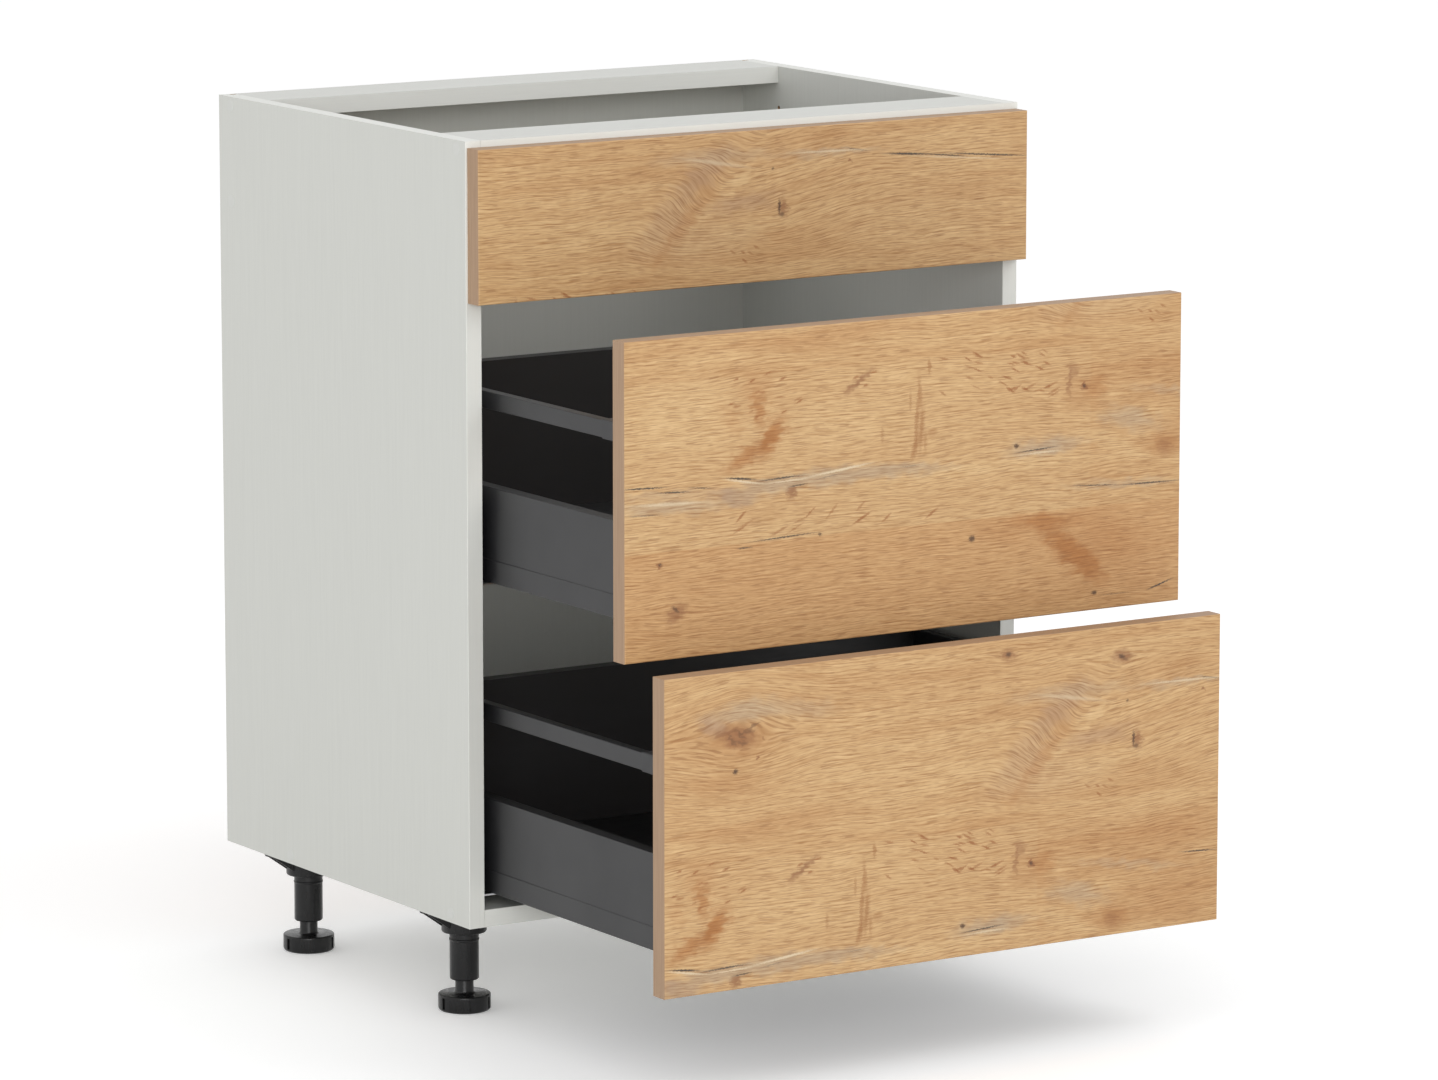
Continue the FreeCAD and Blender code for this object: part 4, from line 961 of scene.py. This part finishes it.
def makeSockets(material):
    look = legLook
    tube, collar, bead = look["tube"], look["collar"], look["bead"]

    def flats(angle, height):
        share = tube["flatDepth"] / tube["radius"]
        return 1 - share * abs(math.sin(tube["flats"] / 2 * angle)) if height < -bead["at"] - 2 else 1

    work = bmesh.new()
    for end in ("front", "rear"):
        for hand in ("left", "right"):
            middle = legMiddle("foot_%s_%s" % (end, hand))
            addPrism(work, armOutline(), -look["arm"]["thickness"], 0, middle)
            for quarter in range(4):
                addRib(work, 90 * quarter, middle)
            # collar: a drafted ring with a rounded lower edge, round the tube
            low = -collar["end"]
            narrow = collar["radius"] - collar["draft"]
            inside = tube["radius"] - 1
            top = (collar["radius"], -0.5)
            profile = [top] + quarterRound((narrow - collar["round"], low + collar["round"]), collar["round"], 0)
            addTurned(work, profile + [(inside, low), (inside, -0.5), top], middle)
            # tube: bead near its top, faint flats, rounded end, and the bore that the spindle turns in
            radius = tube["radius"]
            low = -tube["end"]
            beadTop = -bead["at"] + bead["height"] / 2
            profile = [(radius, -1), (radius, beadTop + 0.6), (radius + bead["out"], beadTop),
                       (radius + bead["out"], beadTop - bead["height"]), (radius, beadTop - bead["height"] - 0.6),
                       (radius, -bead["at"] - 3)]
            profile += quarterRound((radius - tube["round"], low + tube["round"]), tube["round"], 0)
            profile += [(look["bore"], low), (look["bore"], -look["boreTop"])]
            rings = addTurned(work, profile, middle, flats)
            work.faces.new(rings[-1])
            work.faces.new(rings[0])
    finishedPiece("legSockets", work, material, "cabinet", "leg_sockets", 0.4)
    print("leg sockets made")


def makeFoot(end, hand, material):
    look = legLook
    disc, spindle, notch = look["disc"], look["spindle"], look["notch"]
    node = "foot_%s_%s" % (end, hand)
    middle = legMiddle(node)
    floor = -look["underside"]
    top = floor + disc["height"]
    work = bmesh.new()
    profile = [(spindle["radius"] - 0.8, -spindle["top"]), (spindle["radius"], -spindle["top"] - 0.8),
               (spindle["radius"], top + spindle["flare"])]
    profile += [(spindle["radius"] + spindle["flare"] * (1 - math.cos(math.radians(angle))),
                 top + spindle["flare"] * (1 - math.sin(math.radians(angle)))) for angle in (30, 60, 90)]
    profile += quarterRound((disc["radius"] - disc["rim"], top - disc["rim"]), disc["rim"], 90)
    profile += [(disc["radius"], top - notch["margin"]), (disc["radius"], floor + disc["foot"])]
    profile += [(disc["radius"] - disc["foot"] * (1 - math.cos(math.radians(angle))),
                 floor + disc["foot"] * (1 - math.sin(math.radians(angle)))) for angle in (30, 60, 90)]
    rings = addTurned(work, profile, middle)
    work.faces.new(rings[0])
    work.faces.new(rings[-1][::-1])
    foot = finishedPiece(node + "Turned", work, material, nodeBody[node], node, 0)

    # the notches are cut with one tool that holds six blocks
    cutter = bmesh.new()
    inner = disc["radius"] - notch["depth"]
    for index in range(notch["count"]):
        turn = Matrix.Rotation(math.radians(notch["turn"] + 360 / notch["count"] * index), 2)
        outline = [turn @ Vector(corner) for corner in
                   ((inner, -notch["width"] / 2), (disc["radius"] + 2, -notch["width"] / 2),
                    (disc["radius"] + 2, notch["width"] / 2), (inner, notch["width"] / 2))]
        addPrism(cutter, [tuple(corner) for corner in outline], floor + notch["margin"], top - notch["margin"], middle)
    bmesh.ops.recalc_face_normals(cutter, faces=cutter.faces)
    toolMesh = bpy.data.meshes.new("notchTool")
    cutter.to_mesh(toolMesh)
    cutter.free()
    tool = bpy.data.objects.new("notchTool", toolMesh)
    scene.collection.objects.link(tool)
    cutting = foot.modifiers.new("notches", "BOOLEAN")
    cutting.operation = "DIFFERENCE"
    cutting.solver = "EXACT"
    cutting.object = tool
    plain = bpy.data.meshes.new_from_object(foot.evaluated_get(bpy.context.evaluated_depsgraph_get()))
    foot.modifiers.remove(cutting)
    foot.data = plain
    foot.data.shade_smooth()
    foot.data.set_sharp_from_angle(angle=math.radians(32))
    bpy.data.objects.remove(tool)


nodeBody = {name: nodes[name]["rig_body"] for name in nodes}


def dressCabinet():
    for node in ("side_panel_left", "side_panel_right", "base_panel", "front_top_rail", "rear_top_rail",
                 "rear_cross_rail"):
        assign(boardMaterial(node), node)
    assign(hardboardMaterial("back_panel"), "back_panel")
    for node in oakFronts["corners"]:
        assign(oakMaterial(node), node)
    print("boards and fronts dressed")


def dressMetalAndPlastic(made):
    for name in nodes:
        if "drawer_side" in name or "gallery_rail" in name:
            assign(made["powderCoatedSteel"], name)
        elif name.endswith("drawer_base") or name.endswith("drawer_back"):
            assign(made["anthraciteBoard"], name)
        elif "bracket_" in name or "connectors" in name:
            assign(made["mouldedAnthracite"], name)
        elif "runner" in name or name == "blind_front_brackets":
            assign(made["galvanisedSteel"], name)
        elif "screws" in name:
            assign(made["zincPlate"], name)
        elif "slide_blocks" in name:
            assign(made["naturalNylon"], name)
        elif name == "wood_dowels":
            assign(made["beechWood"], name)
        elif name == "screw_cover_caps":
            assign(made["capPlastic"], name)
        elif name == "leg_sockets" or name.startswith("foot_"):
            assign(made["legPolypropylene"], name)
    print("metal and plastic dressed")


makeCamera()
makeStudio()
dressCabinet()
made = {name: finish(name) for name in finishes}
dressMetalAndPlastic(made)
makeScrews(made["zincPlate"])
makeCaps(made["capPlastic"])
makeSockets(made["legPolypropylene"])
for end in ("front", "rear"):
    for hand in ("left", "right"):
        makeFoot(end, hand, made["legPolypropylene"])
print("feet made")

scene.view_settings.view_transform = "Standard"
